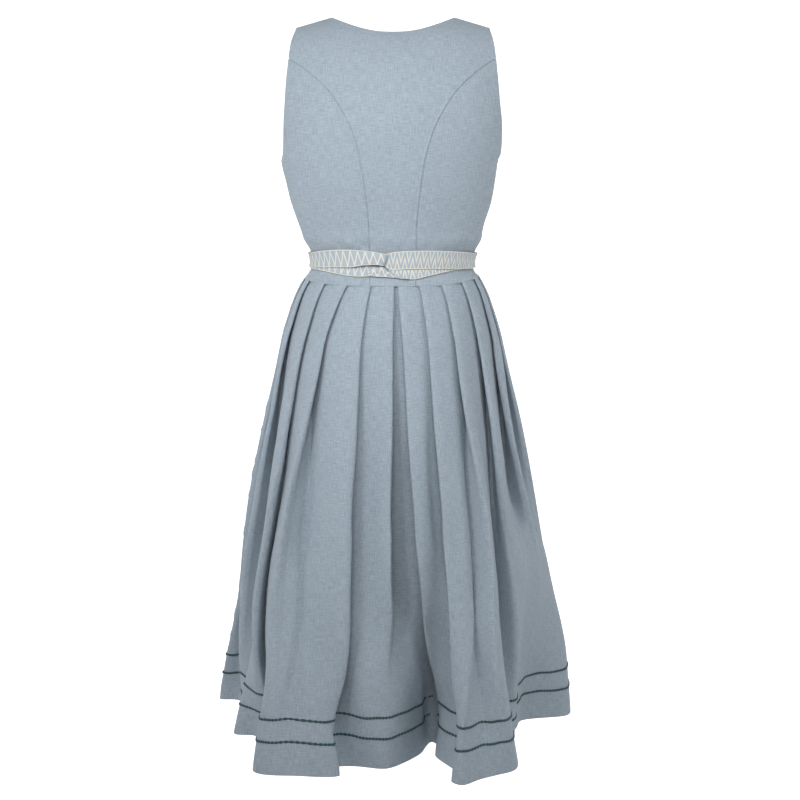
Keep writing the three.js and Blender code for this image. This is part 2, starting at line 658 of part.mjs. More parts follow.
function skirt(name, from, to) {
  const columns = clothColumns(from, to);
  const layers = { outer: [], inner: [] };
  for (const depth of SKIRT_RINGS) {
    const fallen = depth / SKIRT_LENGTH;
    const opened = openings.get(depth);
    const place = (cloth) => {
      const wrapped = cloth > CLOTH_WIDTH / 2 ? cloth - CLOTH_WIDTH : cloth;
      return clothPlace(wrapped, fallen, opened);
    };
    const at = columns.map(({ cloth, spread }) => place(cloth + spread * turnLength(fallen)));
    const z = -BODICE_HEIGHT - depth;
    const direction = (a, b) => {
      const size = Math.hypot(b[0] - a[0], b[1] - a[1]);
      return [(b[0] - a[0]) / size, (b[1] - a[1]) / size];
    };
    const normals = at.map((here, i) => {
      const before = i > 0 ? at[i - 1] : place(columns[i].cloth - 2);
      const after = i < at.length - 1 ? at[i + 1] : place(columns[i].cloth + 2);
      const [a, b] = [direction(before, here), direction(here, after)];
      return direction([0, 0], [a[1] + b[1], -a[0] - b[0]]);
    });
    for (const [key, off] of [["outer", CLOTH / 2], ["inner", -CLOTH / 2]]) {
      layers[key].push(
        at.map(([x, y], i) => new THREE.Vector3(x + normals[i][0] * off, y + normals[i][1] * off, z)),
      );
    }
  }
  return named(name, wall(layers.outer, layers.inner), linen);
}

// ---- the belt ----
// One stretch of ribbon laid round the waist, from a table of sections.
function beltStretch(name, rows) {
  const rising = rows[0].at < topOf(rows).at ? rows : [...rows].reverse();
  const [start, end] = [rising[0].at, topOf(rising).at];
  const pieces = Math.ceil((end - start) / BELT_STEP);
  const marks = [...rising.map((row) => row.at), ...spaced([start], [end], pieces).map(([at]) => at)]
    .sort((a, b) => a - b)
    .filter((at, i, list) => !i || at - list[i - 1] > 2.5);
  const [mid, width, off] = ["mid", "width", "off"].map((column) => curve(rising, "at", column));
  const layer = (depth) =>
    [-1, 0, 1].map((across) =>
      marks.map((at) => {
        const [x, y] = waistPlace(at / WAIST);
        const height = mid(at) + (across * width(at)) / 2;
        const turn = Math.atan2(y / backAt(0), x / halfAt(0));
        const away = CLOTH / 2 + off(at) + depth;
        return bodicePoint(turn, height).addScaledVector(bodiceNormal(turn, height), away);
      }),
    );
  return named(name, wall(layer(RIBBON / 2), layer(-RIBBON / 2)), ribbon);
}

// ---- assembly ----
const openings = new Map(SKIRT_RINGS.map((depth) => [depth, openedAt(depth / SKIRT_LENGTH)]));
const sideSeam = SIDE_SEAM * PITCH;
const dress = new THREE.Group();
dress.name = "dirndl";
dress.add(backCentre());
for (const [side, hand] of [["left", -1], ["right", 1]]) {
  dress.add(sidePanel(`bodice_back_side_${side}`, BACK_PRINCESS, BACK_ARMHOLE, hand, -1));
  dress.add(sidePanel(`bodice_front_side_${side}`, FRONT_PRINCESS, FRONT_ARMHOLE, hand, 1));
  dress.add(frontPanel(`bodice_front_${side}`, hand));
}
dress.add(skirt("skirt_back", -sideSeam + SEAM_GAP / 2, sideSeam - SEAM_GAP / 2));
dress.add(skirt("skirt_front", sideSeam + SEAM_GAP / 2, CLOTH_WIDTH - sideSeam - SEAM_GAP / 2));
dress.add(beltStretch("belt_lower_right", BELT_OVER_STRAND.right));
dress.add(beltStretch("belt_upper_left", BELT_OVER_STRAND.left));
dress.add(beltStretch("belt_lower_left", BELT_UNDER_STRAND.left));
dress.add(beltStretch("belt_upper_right", BELT_UNDER_STRAND.right));

export default dress;
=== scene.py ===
"""Looks for a sleeveless dirndl: panelled bodice, knife-pleated skirt, crossed ribbon belt.

Millimetres inside the helpers, metres in Blender. +Z up, the dress's back faces -Y. The forms follow the
same tables as the solids, laid out finely, with the sewing and the weave added.
"""

import math

import bpy
import numpy as np
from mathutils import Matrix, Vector


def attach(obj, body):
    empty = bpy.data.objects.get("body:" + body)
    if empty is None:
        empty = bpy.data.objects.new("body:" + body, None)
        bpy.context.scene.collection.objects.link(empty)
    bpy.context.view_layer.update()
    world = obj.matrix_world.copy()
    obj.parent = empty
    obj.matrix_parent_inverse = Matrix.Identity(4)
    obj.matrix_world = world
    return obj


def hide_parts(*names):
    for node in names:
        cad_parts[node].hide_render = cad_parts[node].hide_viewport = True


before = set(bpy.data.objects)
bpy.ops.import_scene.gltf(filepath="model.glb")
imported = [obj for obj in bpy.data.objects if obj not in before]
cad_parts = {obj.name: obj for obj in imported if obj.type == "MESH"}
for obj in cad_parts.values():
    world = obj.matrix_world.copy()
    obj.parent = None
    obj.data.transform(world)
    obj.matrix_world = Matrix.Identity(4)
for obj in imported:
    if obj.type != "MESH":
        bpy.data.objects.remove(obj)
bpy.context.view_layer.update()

# ---- driving dimensions, as in the solids ----
CLOTH = 0.9  # shown thickness of the linen
RIBBON = 0.8
BODICE_HEIGHT = 392.0
SKIRT_LENGTH = 684.0
PLEATS = 20
SIDE_SEAM = 15.5
SQUARENESS = 2.05
SHOULDER_HALF = 143.0
NECK_HALF = 90.0
SHOULDER_FALL = 15.5
UNDERARM = 182.0
DOME = 216.0
DOME_ARC = 211.0
DOME_POWER = 0.6
BUST = {"out": 15.0, "side": 74.0, "height": 172.0, "wide": 44.0, "tall": 50.0}

SECTIONS = {
    "height": [0, 8, 18, 28, 44, 68, 103, 141, 182, 216, 260, 296, 346, 392],
    "half": [135, 130, 126, 125, 127.5, 134, 144.5, 156, 163.5, 165.5, 168, 171, 174, 174],
    "back": [99, 93, 90, 89, 90, 92, 96, 101, 104, 105, 104, 103, 103, 103],
    "front": [99, 93, 90, 89, 90, 94, 102, 108, 112, 112, 110, 106, 103, 103],
}
BACK_PRINCESS = {
    "height": [0, 14, 28, 42, 58, 88, 130, 178, 218, 250, 279, 307, 339],
    "out": [34, 33.7, 33.8, 34.2, 34.6, 35, 39.3, 46.5, 57, 72, 91, 117, 151.8],
}
FRONT_PRINCESS = {
    "height": [0, 14, 28, 42, 58, 88, 132, 174, 206, 234, 254, 270, 282],
    "out": [50, 49.5, 49, 49.5, 51, 55, 66, 74.5, 81, 92.5, 107.5, 125.5, 147.5],
}
BACK_ARMHOLE = {
    "height": [182, 190, 213, 244, 272, 304, 339, 370, 386, 392],
    "out": [163.5, 163.4, 162.8, 160.8, 157.6, 155, 151.8, 147.3, 143.6, SHOULDER_HALF],
}
FRONT_ARMHOLE = {
    "height": [182, 188, 208, 244, 282, 316, 352, 378, 392],
    "out": [163.5, 163.5, 161.5, 154.5, 147.5, 144, 142.3, 142, SHOULDER_HALF],
}
BACK_NECK = {"out": [0, 20, 40, 60, 76, NECK_HALF], "height": [368, 369, 372.8, 379.3, 385.8, 392]}
FRONT_NECK = {"out": [0, 25, 48, 67, 79, NECK_HALF], "height": [280, 282, 292, 313, 345, 392]}

# How the worn bodice leans out of its even cut, at its left and right edges.
FIGURE = {
    "height": [0, 16, 34, 52, 66, 90, 115, 150, 180, 195, 235, 260, 290, 340, 365, 392],
    "left": [1, 0, -3.5, -2, 0.5, 3, 4, 3, 4.5, 1.5, 1.5, 2.5, 3.5, 3.5, 4.5, 3],
    "right": [-5, -4.5, -6, -3.5, -2, -3, -2.5, -5.5, -6, -2.5, 0, 0, 0, 0, 1, 1],
}
WAIST_RISE = {"left": 5.5, "right": 9.5, "fades_above": 28.0, "fades_below": 200.0}
# Soft creases: side of the dress, strong end (out, height), faint end (out, height), depth, reach.
CREASES = (
    (-1, -41, 57, -60, 112, 2.6, 5), (-1, -78, 56, -90, 76, 2.0, 4), (-1, -34, 58, 2, 118, 1.3, 8),
    (-1, 50, 57, 82, 98, 1.4, 8), (-1, 18, 58, 32, 92, 1.2, 6), (-1, -112, 57, -118, 84, 1.4, 5),
    (-1, 104, 57, 128, 100, 1.2, 7), (-1, -64, 62, -74, 104, -1.4, 9), (-1, -160, 180, -126, 150, 1.3, 5),
    (-1, 161, 184, 130, 160, 1.5, 6), (-1, 84, 60, 96, 84, -0.9, 8), (-1, 6, 60, -12, 104, -0.9, 10),
    (1, 60, 58, 84, 118, 1.5, 8), (1, -52, 57, -76, 110, 1.8, 7), (1, 20, 57, 8, 94, 1.2, 6),
    (1, -152, 180, -118, 158, 1.4, 6), (1, 152, 178, 116, 150, 1.5, 6), (1, 110, 57, 126, 96, 1.3, 7),
    (1, -100, 57, -112, 90, 1.2, 6), (1, -20, 60, -30, 92, -1.0, 9), (1, 82, 62, 96, 100, -1.1, 9),
)

# Plan of the hem: length of cloth from the centre back, to the right, and where it hangs.
HEM_PLAN = (
    (-1070, -46, 247), (-1024, -78, 284), (-983, -116, 274), (-950, -124, 241), (-911, -151, 212),
    (-864, -194, 227), (-817, -226, 192), (-773, -206, 152), (-729, -220, 109), (-686, -267, 101),
    (-640, -283, 62), (-609, -254, 56), (-572, -236, 24), (-459, -243, -92), (-425, -211, -100),
    (-375, -190, -160), (-318, -199, -238), (-255, -139, -257), (-195, -79, -255), (-160, -94, -223),
    (-118, -53, -220), (-75, -8, -229), (-30, 35, -186), (8, 47, -146), (32, 58, -126),
    (56, 69, -148), (95, 63, -184), (152, 92, -244), (189, 82, -276), (215, 98, -291),
    (260, 133, -261), (314, 177, -229), (372, 180, -163), (450, 187, -80), (498, 200, -37),
    (575, 273, -14), (620, 282, 28), (665, 266, 64), (704, 232, 82), (740, 220, 115),
    (788, 248, 146), (838, 227, 191), (888, 180, 194), (928, 155, 222), (968, 151, 262),
    (1014, 110, 276), (1064, 73, 243), (1112, 27, 237),
)
HEM_ROUND = 2264.0

# How far apart the folds' layers lie, and how sharply a panel dips under the next fold.
LAYERS = {
    "fallen": [0, 0.04, 0.12, 0.25, 0.45, 0.6, 0.75, 0.88, 1],
    "apart": [2.3, 3, 4, 6, 9.2, 10, 9, 6, 0],
}
DIP = 1.6  # over 1, a layer goes down to the next one late
CENTRE_FOLDS = (1.0, 6.0)  # how far from the centre back its two folds lie at the waist: left, right
CENTRE_SINK = 0.4  # share of the way down over which the cloth between them sinks one layer deeper
# How far each fold of the back has slipped round the skirt, toward the wearer's right, at six depths.
SLIP = {
    "fallen": [0, 0.2, 0.4, 0.6, 0.8, 1],
    "left_5": [1, 5, 15, 5, -10, 0],
    "left_4": [3, 6, 12, 12, 4, 0],
    "left_3": [5, -6, -15, -28, -28, -8],
    "left_2": [5, 8, 17, 25, 24, 8],
    "left_1": [3, 7, 10, 12, 8, 4],
    "right_1": [0, -8, -19, -26, -26, 0],
    "right_2": [1, -13, -25, -34, -26, 0],
    "right_3": [-1, -13, -7, 2, 0, -8],
    "right_4": [-1, -12, -20, -28, -16, 0],
    "right_5": [-3, -24, -30, -30, -16, 0],
}
# Where folds fall open before the hem: a stretch of the cloth, in pleat widths, and the depths it opens
# over.
OPENING = ((9.6, 18.5, 0.42, 0.64), (-3.9, 0.9, 0.66, 0.86))
OPENING_EDGE = 1.2  # pleat widths over which a stretch goes over to the folded cloth beside it
FLARE = {
    "fallen": [0, 0.02, 0.041, 0.085, 0.13, 0.285, 0.42, 0.56, 0.65, 0.745, 0.84, 0.93, 1],
    "out": [0, 6.5, 11.5, 18, 23, 32, 37, 39, 36, 28, 19, 8, 0],
}
FREE = 0.8  # from this depth down the folds open evenly, until they lie open at the hem
# How far to either side along the hem its waves are averaged, at each depth.
CALM = {"fallen": [0, 0.5, 0.65, 0.8, 0.9, 1], "reach": [130, 130, 105, 58, 26, 0]}
# Half the width of a fold's turn, at the waist and at the hem.
CREASE = 2.3
SOFT_CREASE = 6.0
TAPS = (-1, -0.6, -0.2, 0.2, 0.6, 1)  # places averaged, as shares of a turn's half or a reach
NEARBY = 6e-3  # share of the way round, to either side, that gives the cloth's heading
# Pleat widths before a fold over which its drift comes in: for the first fold and for the others.
FIRST_LEAD, LEAD_IN = 0.6, 2.2
# The skirt cloth's unevenness: the size of its waves, the seed of their draw and how far they move it.
EASE_OUT = ((95, 3, 2.2), (42, 5, 0.8))
EASE_ALONG = (120, 8, 2.0)
EASE_FULL = 0.12  # share of the way down at which it is full
SEAM_GAP = 0.3  # between the skirt's two panels, in all
HALF_GAP = SEAM_GAP / 2
CORDS = {"hem_cord_lower": 44.0, "hem_cord_upper": 74.0}  # heights above the hem
BEAD = 4.7  # length of one overcast bead
CORD_WOBBLE = ((0.5, 17.0, 0), (0.35, 6.1, 1))  # how far it strays, over what length, from where
CORD_WIDE, CORD_TALL = (0.75, 1.35), (0.5, 0.7)  # least, and what a bead adds
CORD_OFF = 0.45  # from the cloth's surface to a cord's middle
CORD_SIDES = 8

# The bodice's sewn seams, the cloth's fullness above the belt and the belt's pull.
SEAM_DEPTH, SEAM_WIDTH = 1.1, 0.9
RIDGE_AT, RIDGE_WIDE = 2.6, 1.5  # where the allowances lift the cloth, measured from the seam
BLOUSE = {"out": 1.5, "at": 66, "tall": 9}
PINCH = {"in": 1.2, "at": 40, "tall": 12}
BELTED = 58  # up to this height the side panels' rows stay level
CREASE_WIDTH = (0.7, 0.9)  # a crease's width at its start and what it gains, in its own reach
CREASE_FADE = 1.3  # over 1, a crease fades sooner
UNEVEN = {"size": 70, "seed": 11, "out": 0.5, "clear": 12}  # the cloth's waves, fading this near a seam
CROWDING = 0.93  # 0 leaves a panel's rows and columns even, 1 brings them together at its edges
EDGE_PULL = 6  # how late a panel's rows take up its top edge
ACROSS, UP = 64, 200  # columns and rows of a panel; the centre back has twice the columns

# The belt's strands, from left to right: the upper edge's place along the waist, height and distance off
# the bodice, then the lower edge's.
BELT_NEAR, BELT_FAR = 1.8, 3.9
BELT = {
    "belt_lower_right": (
        (-14, 30, 1.2, 4, 11.5, 1.2), (8, 33, BELT_NEAR, 26, 8.8, BELT_NEAR),
        (28, 34, BELT_NEAR, 38, 9.6, BELT_NEAR),
        (46, 36.5, BELT_NEAR, 48, 12, BELT_NEAR), (74, 41.4, BELT_NEAR, 74, 16.9, BELT_NEAR),
        (102, 45.2, BELT_NEAR, 102, 20.6, BELT_NEAR), (124, 46, BELT_NEAR, 124, 21.5, BELT_NEAR),
        (160, 45.7, BELT_NEAR, 160, 21.2, BELT_NEAR), (362, 46.5, BELT_NEAR, 362, 22, BELT_NEAR),
    ),
    "belt_upper_left": (
        (-391, 47, 5.7, -391, 22.5, 5.7), (-355, 47, 5.7, -355, 22.5, 5.7),
        (-340, 47, BELT_FAR, -340, 22.5, BELT_FAR),
        (-160, 47, BELT_FAR, -160, 22, BELT_FAR), (-121, 50.8, BELT_FAR, -121, 24.8, 4.0),
        (-91, 52.8, BELT_FAR, -91, 26.6, 4.6), (-66, 53.2, 4.0, -66, 26.9, 5.8),
        (-52, 52.6, 4.3, -52, 29.6, 6.8),
        (-40, 51.6, 4.7, -39, 31.2, 7.2), (-26, 50, 5.2, -27, 31.6, 7.2), (-15.5, 48, 5.2, -19, 30.8, 6.8),
        (-8.5, 46.4, 4.4, -15.5, 29.6, 6.0), (-8.5, 45.6, 3.0, -15, 29.6, 4.4),
    ),
    "belt_lower_left": (
        (-362, 46.5, BELT_NEAR, -362, 22, BELT_NEAR), (-160, 45, BELT_NEAR, -160, 20.4, BELT_NEAR),
        (-117, 43.5, BELT_NEAR, -117, 18.9, BELT_NEAR), (-88, 40, BELT_NEAR, -88, 15.6, BELT_NEAR),
        (-67, 37, BELT_NEAR, -67, 13.3, 2.0), (-52, 33.5, 1.4, -53, 12.8, 2.2),
        (-38, 30, 1.0, -40, 13.2, 2.4),
        (-25, 27.5, 1.0, -30, 15, 2.4),
    ),
    "belt_upper_right": (
        (-22, 44, 1.0, -19, 33, 1.0), (-12, 46.8, 1.6, -9, 28, 1.4), (-4, 48.8, 2.6, -2, 23.8, 2.2),
        (4, 50.4, 3.6, 8, 23.8, 3.4),
        (25, 51.6, BELT_FAR, 25, 24.4, BELT_FAR), (56, 51.8, BELT_FAR, 56, 24.2, BELT_FAR),
        (89, 50.8, BELT_FAR, 89, 23.6, BELT_FAR), (124, 48.8, BELT_FAR, 124, 22, BELT_FAR),
        (160, 46.2, BELT_FAR, 160, 20.6, BELT_FAR), (359, 46.8, BELT_FAR, 359, 22.3, BELT_FAR),
    ),
}
# Where the left strand comes down through the crossing, before it joins the lower right one.
BELT_TURN = (
    (-37.5, 19, 3.0, -36, 14.4, 3.0), (-28, 23.6, 3.4, -24, 12.6, 3.4), (-19, 28.4, 4.6, -12.3, 12.2, 3.6),
    (-6.4, 20.4, 4.4, 2.8, 11.2, 3.2), (8.8, 13.2, 3.8, 17.8, 9.2, 3.0), (22.3, 10.4, 3.0, 27, 8.7, 2.8),
)
BELT_STEP = 1.6  # between sections along a strand
BELT_CROWN = 0.35  # how far a strand's middle stands out past its edges
BELT_LIFT = 0.55  # added to each strand's distance from the middle of the bodice's cloth
BELT_ACROSS = 17  # points across a strand
# A strand narrower than this is gathered, fully so when it is narrower by the second number.
GATHER = (24, 14)
RIPPLE = {"out": 0.5, "across": 9, "along": 7}  # of a gathered strand


# ---- numbers ----
WAVES = 7  # in the noise
NOISE_SUM = 3.2  # brings the sum of the waves mostly within 1


def mix(a, b, t):
    return a + (b - a) * t


def curve(x, y):
    """A smooth curve through a table, for arrays."""
    x, y = np.asarray(x, float), np.asarray(y, float)
    last = len(x) - 1
    before = np.maximum(np.arange(len(x)) - 1, 0)
    after = np.minimum(np.arange(len(x)) + 1, last)
    slope = (y[after] - y[before]) / (x[after] - x[before])

    def at(q):
        q = np.clip(np.asarray(q, float), x[0], x[-1])
        i = np.clip(np.searchsorted(x, q, side="left") - 1, 0, last - 1)
        wide = x[i + 1] - x[i]
        t = (q - x[i]) / wide
        rise = y[i + 1] - y[i]
        bend = t * (1 - t) * ((1 - t) * (slope[i] * wide - rise) - t * (slope[i + 1] * wide - rise))
        return y[i] + rise * t + bend

    return at


def noise3(p, size, seed):
    """Smooth noise in space, mostly from -1 to 1, from a few turned waves."""
    rng = np.random.default_rng(seed)
    total = np.zeros(p.shape[:-1])
    for _ in range(WAVES):
        way = rng.normal(size=3)
        way /= np.linalg.norm(way)
        total += np.sin(p @ way * (2 * math.pi / (size * rng.uniform(0.7, 1.5))) + rng.uniform(0, 6.28))
    return total / NOISE_SUM


# ---- the bodice's surface ----
half_at = curve(SECTIONS["height"], SECTIONS["half"])
back_at = curve(SECTIONS["height"], SECTIONS["back"])
front_at = curve(SECTIONS["height"], SECTIONS["front"])
left_at = curve(FIGURE["height"], FIGURE["left"])
right_at = curve(FIGURE["height"], FIGURE["right"])
DOME_RISE = BODICE_HEIGHT - DOME
GIRTH_TOP = DOME + DOME_ARC


def up_cloth(height):
    height = np.asarray(height, float)
    over = DOME + DOME_ARC * np.arcsin(np.clip((height - DOME) / DOME_RISE, 0, 1)) / (math.pi / 2)
    return np.where(height <= DOME, height, over)


def bodice_point(turn, up):
    """The bodice cloth's middle, for a turn about the dress and a length up the cloth."""
    turn, up = np.broadcast_arrays(np.asarray(turn, float), np.asarray(up, float))
    lean = np.where(up > DOME, (up - DOME) / DOME_ARC * (math.pi / 2), 0)
    height = np.where(up > DOME, DOME + DOME_RISE * np.sin(lean), up)
    closing = np.maximum(np.cos(lean), 0) ** (2 * DOME_POWER)
    c, s = np.cos(turn), np.sin(turn)
    size = (np.abs(c) ** SQUARENESS + np.abs(s) ** SQUARENESS) ** (-1 / SQUARENESS)
    x = half_at(height) * c * size
    y = np.where(s < 0, back_at(height), front_at(height)) * closing * s * size
    side = (np.abs(x) - BUST["side"]) / BUST["wide"]
    rise = (height - BUST["height"]) / BUST["tall"]
    y = y + np.where(s > 0, BUST["out"] * s * np.exp(-(side * side + rise * rise) / 2), 0)
    fall = SHOULDER_FALL * np.maximum(0, np.abs(x) - NECK_HALF) / (SHOULDER_HALF - NECK_HALF)
    share = c * size
    leaning = np.where(c < 0, -left_at(height), right_at(height)) * share**2
    low = np.clip(1 - up / WAIST_RISE["fades_above"], 0, 1) ** 2
    z = height - fall * np.sin(lean) ** 2 - BODICE_HEIGHT + waist_rise(share) * low
    return np.stack([x + leaning, y, z], -1)


def waist_rise(share):
    """The waist seam climbs toward the sides; share is -1 at the left side, 1 at the right."""
    return mix(WAIST_RISE["left"], WAIST_RISE["right"], (share + 1) / 2) * share**4


def bodice_normal(turn, up):
    turn, up = np.broadcast_arrays(np.asarray(turn, float), np.asarray(up, float))
    low = np.minimum(up, GIRTH_TOP - 0.5)
    across = bodice_point(turn + 1e-3, low) - bodice_point(turn - 1e-3, low)
    along = bodice_point(turn, low + 0.2) - bodice_point(turn, low - 0.2)
    n = np.cross(across, along)
    return n / np.linalg.norm(n, axis=-1, keepdims=True)


def turn_at(out, height, facing):
    """The turn about the dress at which its section, before it leans, is this far out. Facing is -1 at the
    back and 1 at the front."""
    out = np.asarray(out, float)
    share = np.clip(np.abs(out) / half_at(height), 0, 1) ** SQUARENESS
    turn = np.arctan2((1 - share) ** (1 / SQUARENESS), share ** (1 / SQUARENESS))
    return facing * np.where(out < 0, math.pi - turn, turn)


# ---- the skirt's surface ----
def measured_ring(pieces=720):
    p = bodice_point(-math.pi / 2 + 2 * math.pi * np.arange(pieces + 1) / pieces, 0)[:, :2]
    return p, np.r_[0, np.cumsum(np.hypot(*np.diff(p, axis=0).T))]


RING, RING_ALONG = measured_ring()
WAIST = RING_ALONG[-1]
CLOTH_WIDTH = 3 * WAIST
PITCH = WAIST / PLEATS

plan = np.array(HEM_PLAN, float)
plan = np.vstack([plan[-3:] - [HEM_ROUND, 0, 0], plan, plan[:3] + [HEM_ROUND, 0, 0]])
slips = {name: curve(SLIP["fallen"], row) for name, row in SLIP.items() if name != "fallen"}
calm_at = curve(CALM["fallen"], CALM["reach"])
layers_apart = curve(LAYERS["fallen"], LAYERS["apart"])
hem_x = curve(plan[:, 0], plan[:, 1])
hem_y = curve(plan[:, 0], plan[:, 2])
flare_at = curve(FLARE["fallen"], FLARE["out"])


def waist_place(share):
    want = (share - np.floor(share)) * WAIST
    return np.stack([np.interp(want, RING_ALONG, RING[:, 0]), np.interp(want, RING_ALONG, RING[:, 1])], -1)


def hem_place(share):
    cloth = (share - np.round(share)) * HEM_ROUND
    return np.stack([hem_x(cloth), hem_y(cloth)], -1)


def base_place(share, fallen):
    calm = calm_at(fallen)
    hem = sum(hem_place(share + tap * calm / HEM_ROUND) for tap in TAPS) / len(TAPS)
    p = mix(waist_place(share), hem, fallen[..., None])
    return p * (1 + flare_at(fallen) / np.hypot(p[..., 0], p[..., 1]))[..., None]


def folded(cloth, fallen):
    """How far round the waist the cloth lies when pressed, and how many layers deep."""
    away = np.abs(cloth)
    first = np.where(cloth < 0, *CENTRE_FOLDS)
    pleat = np.maximum(np.floor((away - 2 * PITCH) / (3 * PITCH)), 0)
    into = away - 2 * PITCH - pleat * 3 * PITCH
    start = np.where(pleat == 0, first, pleat * PITCH)
    inner = (pleat + 2) * PITCH
    back = np.clip((into - 2 * PITCH) / PITCH, 0, 1)
    panel = into < 2 * PITCH
    place = np.where(panel, mix(start, inner, into / (2 * PITCH)), mix(inner, (pleat + 1) * PITCH, back))
    turns = np.clip(into / PITCH, 0, 2)
    dip = np.floor(turns) + (turns - np.floor(turns)) ** DIP
    layer = np.where(panel, 2 * dip, 1 + 2 * (1 - back) ** DIP)
    flat = pleat >= PLEATS / 2 - 1
    place = np.where(flat, start + into, place)
    layer = np.where(flat, 0, layer)
    under = away < PITCH
    place = np.where(under, away, place)
    sunk = 2 + np.clip(fallen / CENTRE_SINK, 0, 1)
    layer = np.where(under, mix(sunk, 4, away / PITCH), layer)
    rise = (away >= PITCH) & (away < 2 * PITCH)
    share = (away - PITCH) / PITCH
    place = np.where(rise, mix(PITCH, first, share), place)
    layer = np.where(rise, 3 - 2 * share, layer)
    return np.sign(cloth) * place, layer


def slip(cloth, fallen):
    """The folds' drift from their even places, carried smoothly over the cloth between them."""
    total = 0
    for hand, side_name in ((-1, "left"), (1, "right")):
        out = hand * cloth / PITCH
        last = 0
        for k in range(1, 6):
            start = 3 * k - 1 - (FIRST_LEAD if k == 1 else LEAD_IN)
            share = np.clip((out - start) / (3 * k - 1 - start), 0, 1)
            drift = slips[f"{side_name}_{k}"](fallen)
            total = total + (drift - last) * share * share * (3 - 2 * share)
            last = drift
        share = np.clip((out - 15) / 5, 0, 1)
        total = total - last * share * share * (3 - 2 * share)
    return total


def smooth(t):
    t = np.clip(t, 0, 1)
    return t * t * (3 - 2 * t)


def spread(cloth, fallen):
    """How far the folds have fallen open here, from 0 to 1."""
    out = cloth / PITCH
    total = 0
    for start, end, first, full in OPENING:
        inside = smooth((out - start) / OPENING_EDGE) * smooth((end - out) / OPENING_EDGE)
        total = total + inside * smooth((fallen - first) / (full - first))
    return total


def turning(fallen):
    return mix(CREASE, SOFT_CREASE, fallen**1.5)


def cloth_place(cloth, fallen, opened):
    turn = turning(fallen)
    taken = [folded(cloth + tap * turn, fallen) for tap in TAPS]
    place = sum(t[0] for t in taken) / len(TAPS)
    layer = sum(t[1] for t in taken) / len(TAPS)
    open_here = spread(cloth, fallen)
    share = mix(place / WAIST, cloth / CLOTH_WIDTH, mix(opened, 1, open_here))
    share = share + slip(cloth, fallen) / mix(WAIST, HEM_ROUND, fallen)
    spacing = layers_apart(fallen)
    p = base_place(share, fallen)
    d = base_place(share + NEARBY, fallen) - base_place(share - NEARBY, fallen)
    d /= np.linalg.norm(d, axis=-1, keepdims=True)
    off = (layer * spacing * (1 - open_here))[..., None]
    return p + off * np.stack([-d[..., 1], d[..., 0]], -1)


def opened_at(fallen):
    """How far the folds open at this depth: down to FREE, as far as keeps the cloth's length."""
    if fallen > FREE:
        return mix(opened_at(FREE), 1, (fallen - FREE) / (1 - FREE))
    low, high = 0.0, 1.0
    cloth = CLOTH_WIDTH * (np.arange(601) / 600 - 0.5)
    level = np.full(601, fallen)
    for _ in range(14):
        middle = (low + high) / 2
        p = cloth_place(cloth, level, middle)
        if np.hypot(*np.diff(p, axis=0).T).sum() > CLOTH_WIDTH:
            low = middle
        else:
            high = middle
    return low


KNOTS = np.linspace(0, 1, 26)
OPENED = np.array([opened_at(f) for f in KNOTS])


def opened_curve(fallen):
    return np.interp(fallen, KNOTS, OPENED)


def skirt_place(cloth, down):
    """The middle of the skirt's cloth, for a place along the cloth and a depth below the waist seam."""
    cloth = np.where(cloth > CLOTH_WIDTH / 2, cloth - CLOTH_WIDTH, cloth)
    fallen = np.clip(down / SKIRT_LENGTH, 0, 1)
    p = cloth_place(cloth, fallen, opened_curve(fallen))
    share = np.clip(p[..., 0] / RING[:, 0].max(), -1, 1)
    rise = waist_rise(share) * np.clip(1 - down / WAIST_RISE["fades_below"], 0, 1) ** 2
    p = np.concatenate([p, (rise - BODICE_HEIGHT - down)[..., None]], -1)
    return ease(p, fallen)


def ease(p, fallen):
    """The cloth's unevenness. It is a movement of space, so layers that lie together stay apart."""
    out = np.stack([p[..., 0], p[..., 1], 0 * p[..., 0]], -1)
    out /= np.linalg.norm(out, axis=-1, keepdims=True)
    along = np.stack([-out[..., 1], out[..., 0], 0 * out[..., 0]], -1)
    tall = p * [1, 1, 0.3]
    amount = np.clip(fallen / EASE_FULL, 0, 1)[..., None]
    wave = sum(noise3(tall, size, seed)[..., None] * far for size, seed, far in EASE_OUT)
    size, seed, far = EASE_ALONG
    sway = noise3(tall, size, seed)[..., None] * far
    return p + amount * (out * wave + along * sway)


# ---- meshes ----
def shell(name, middle, normal, thick, uv, material):
    """A thin closed sheet from a grid of points, with its own coordinates on the cloth in metres."""
    rows, columns = middle.shape[:2]
    outer, inner = middle + normal * thick / 2, middle - normal * thick / 2
    points = np.concatenate([outer.reshape(-1, 3), inner.reshape(-1, 3)])
    index = np.arange(rows * columns).reshape(rows, columns)
    a, b, c, d = index[:-1, :-1], index[:-1, 1:], index[1:, 1:], index[1:, :-1]
    faces = [np.stack([a, b, c, d], -1).reshape(-1, 4)]
    back = rows * columns
    faces.append(np.stack([a, d, c, b], -1).reshape(-1, 4) + back)
    loop = np.concatenate([index[0, :], index[1:, -1], index[-1, -2::-1], index[-2:0:-1, 0]])
    after = np.roll(loop, -1)
    faces.append(np.stack([loop, loop + back, after + back, after], -1))
    faces = np.concatenate(faces)
    flat = np.tile(uv.reshape(-1, 2), (2, 1))
    if signed_volume(points, faces) < 0:
        faces = faces[:, ::-1]
    return mesh_object(name, points, faces, material, flat)


def signed_volume(points, faces):
    a, b, c, d = (points[faces[:, k]] for k in range(4))
    return (a * np.cross(b, c)).sum() + (a * np.cross(c, d)).sum()


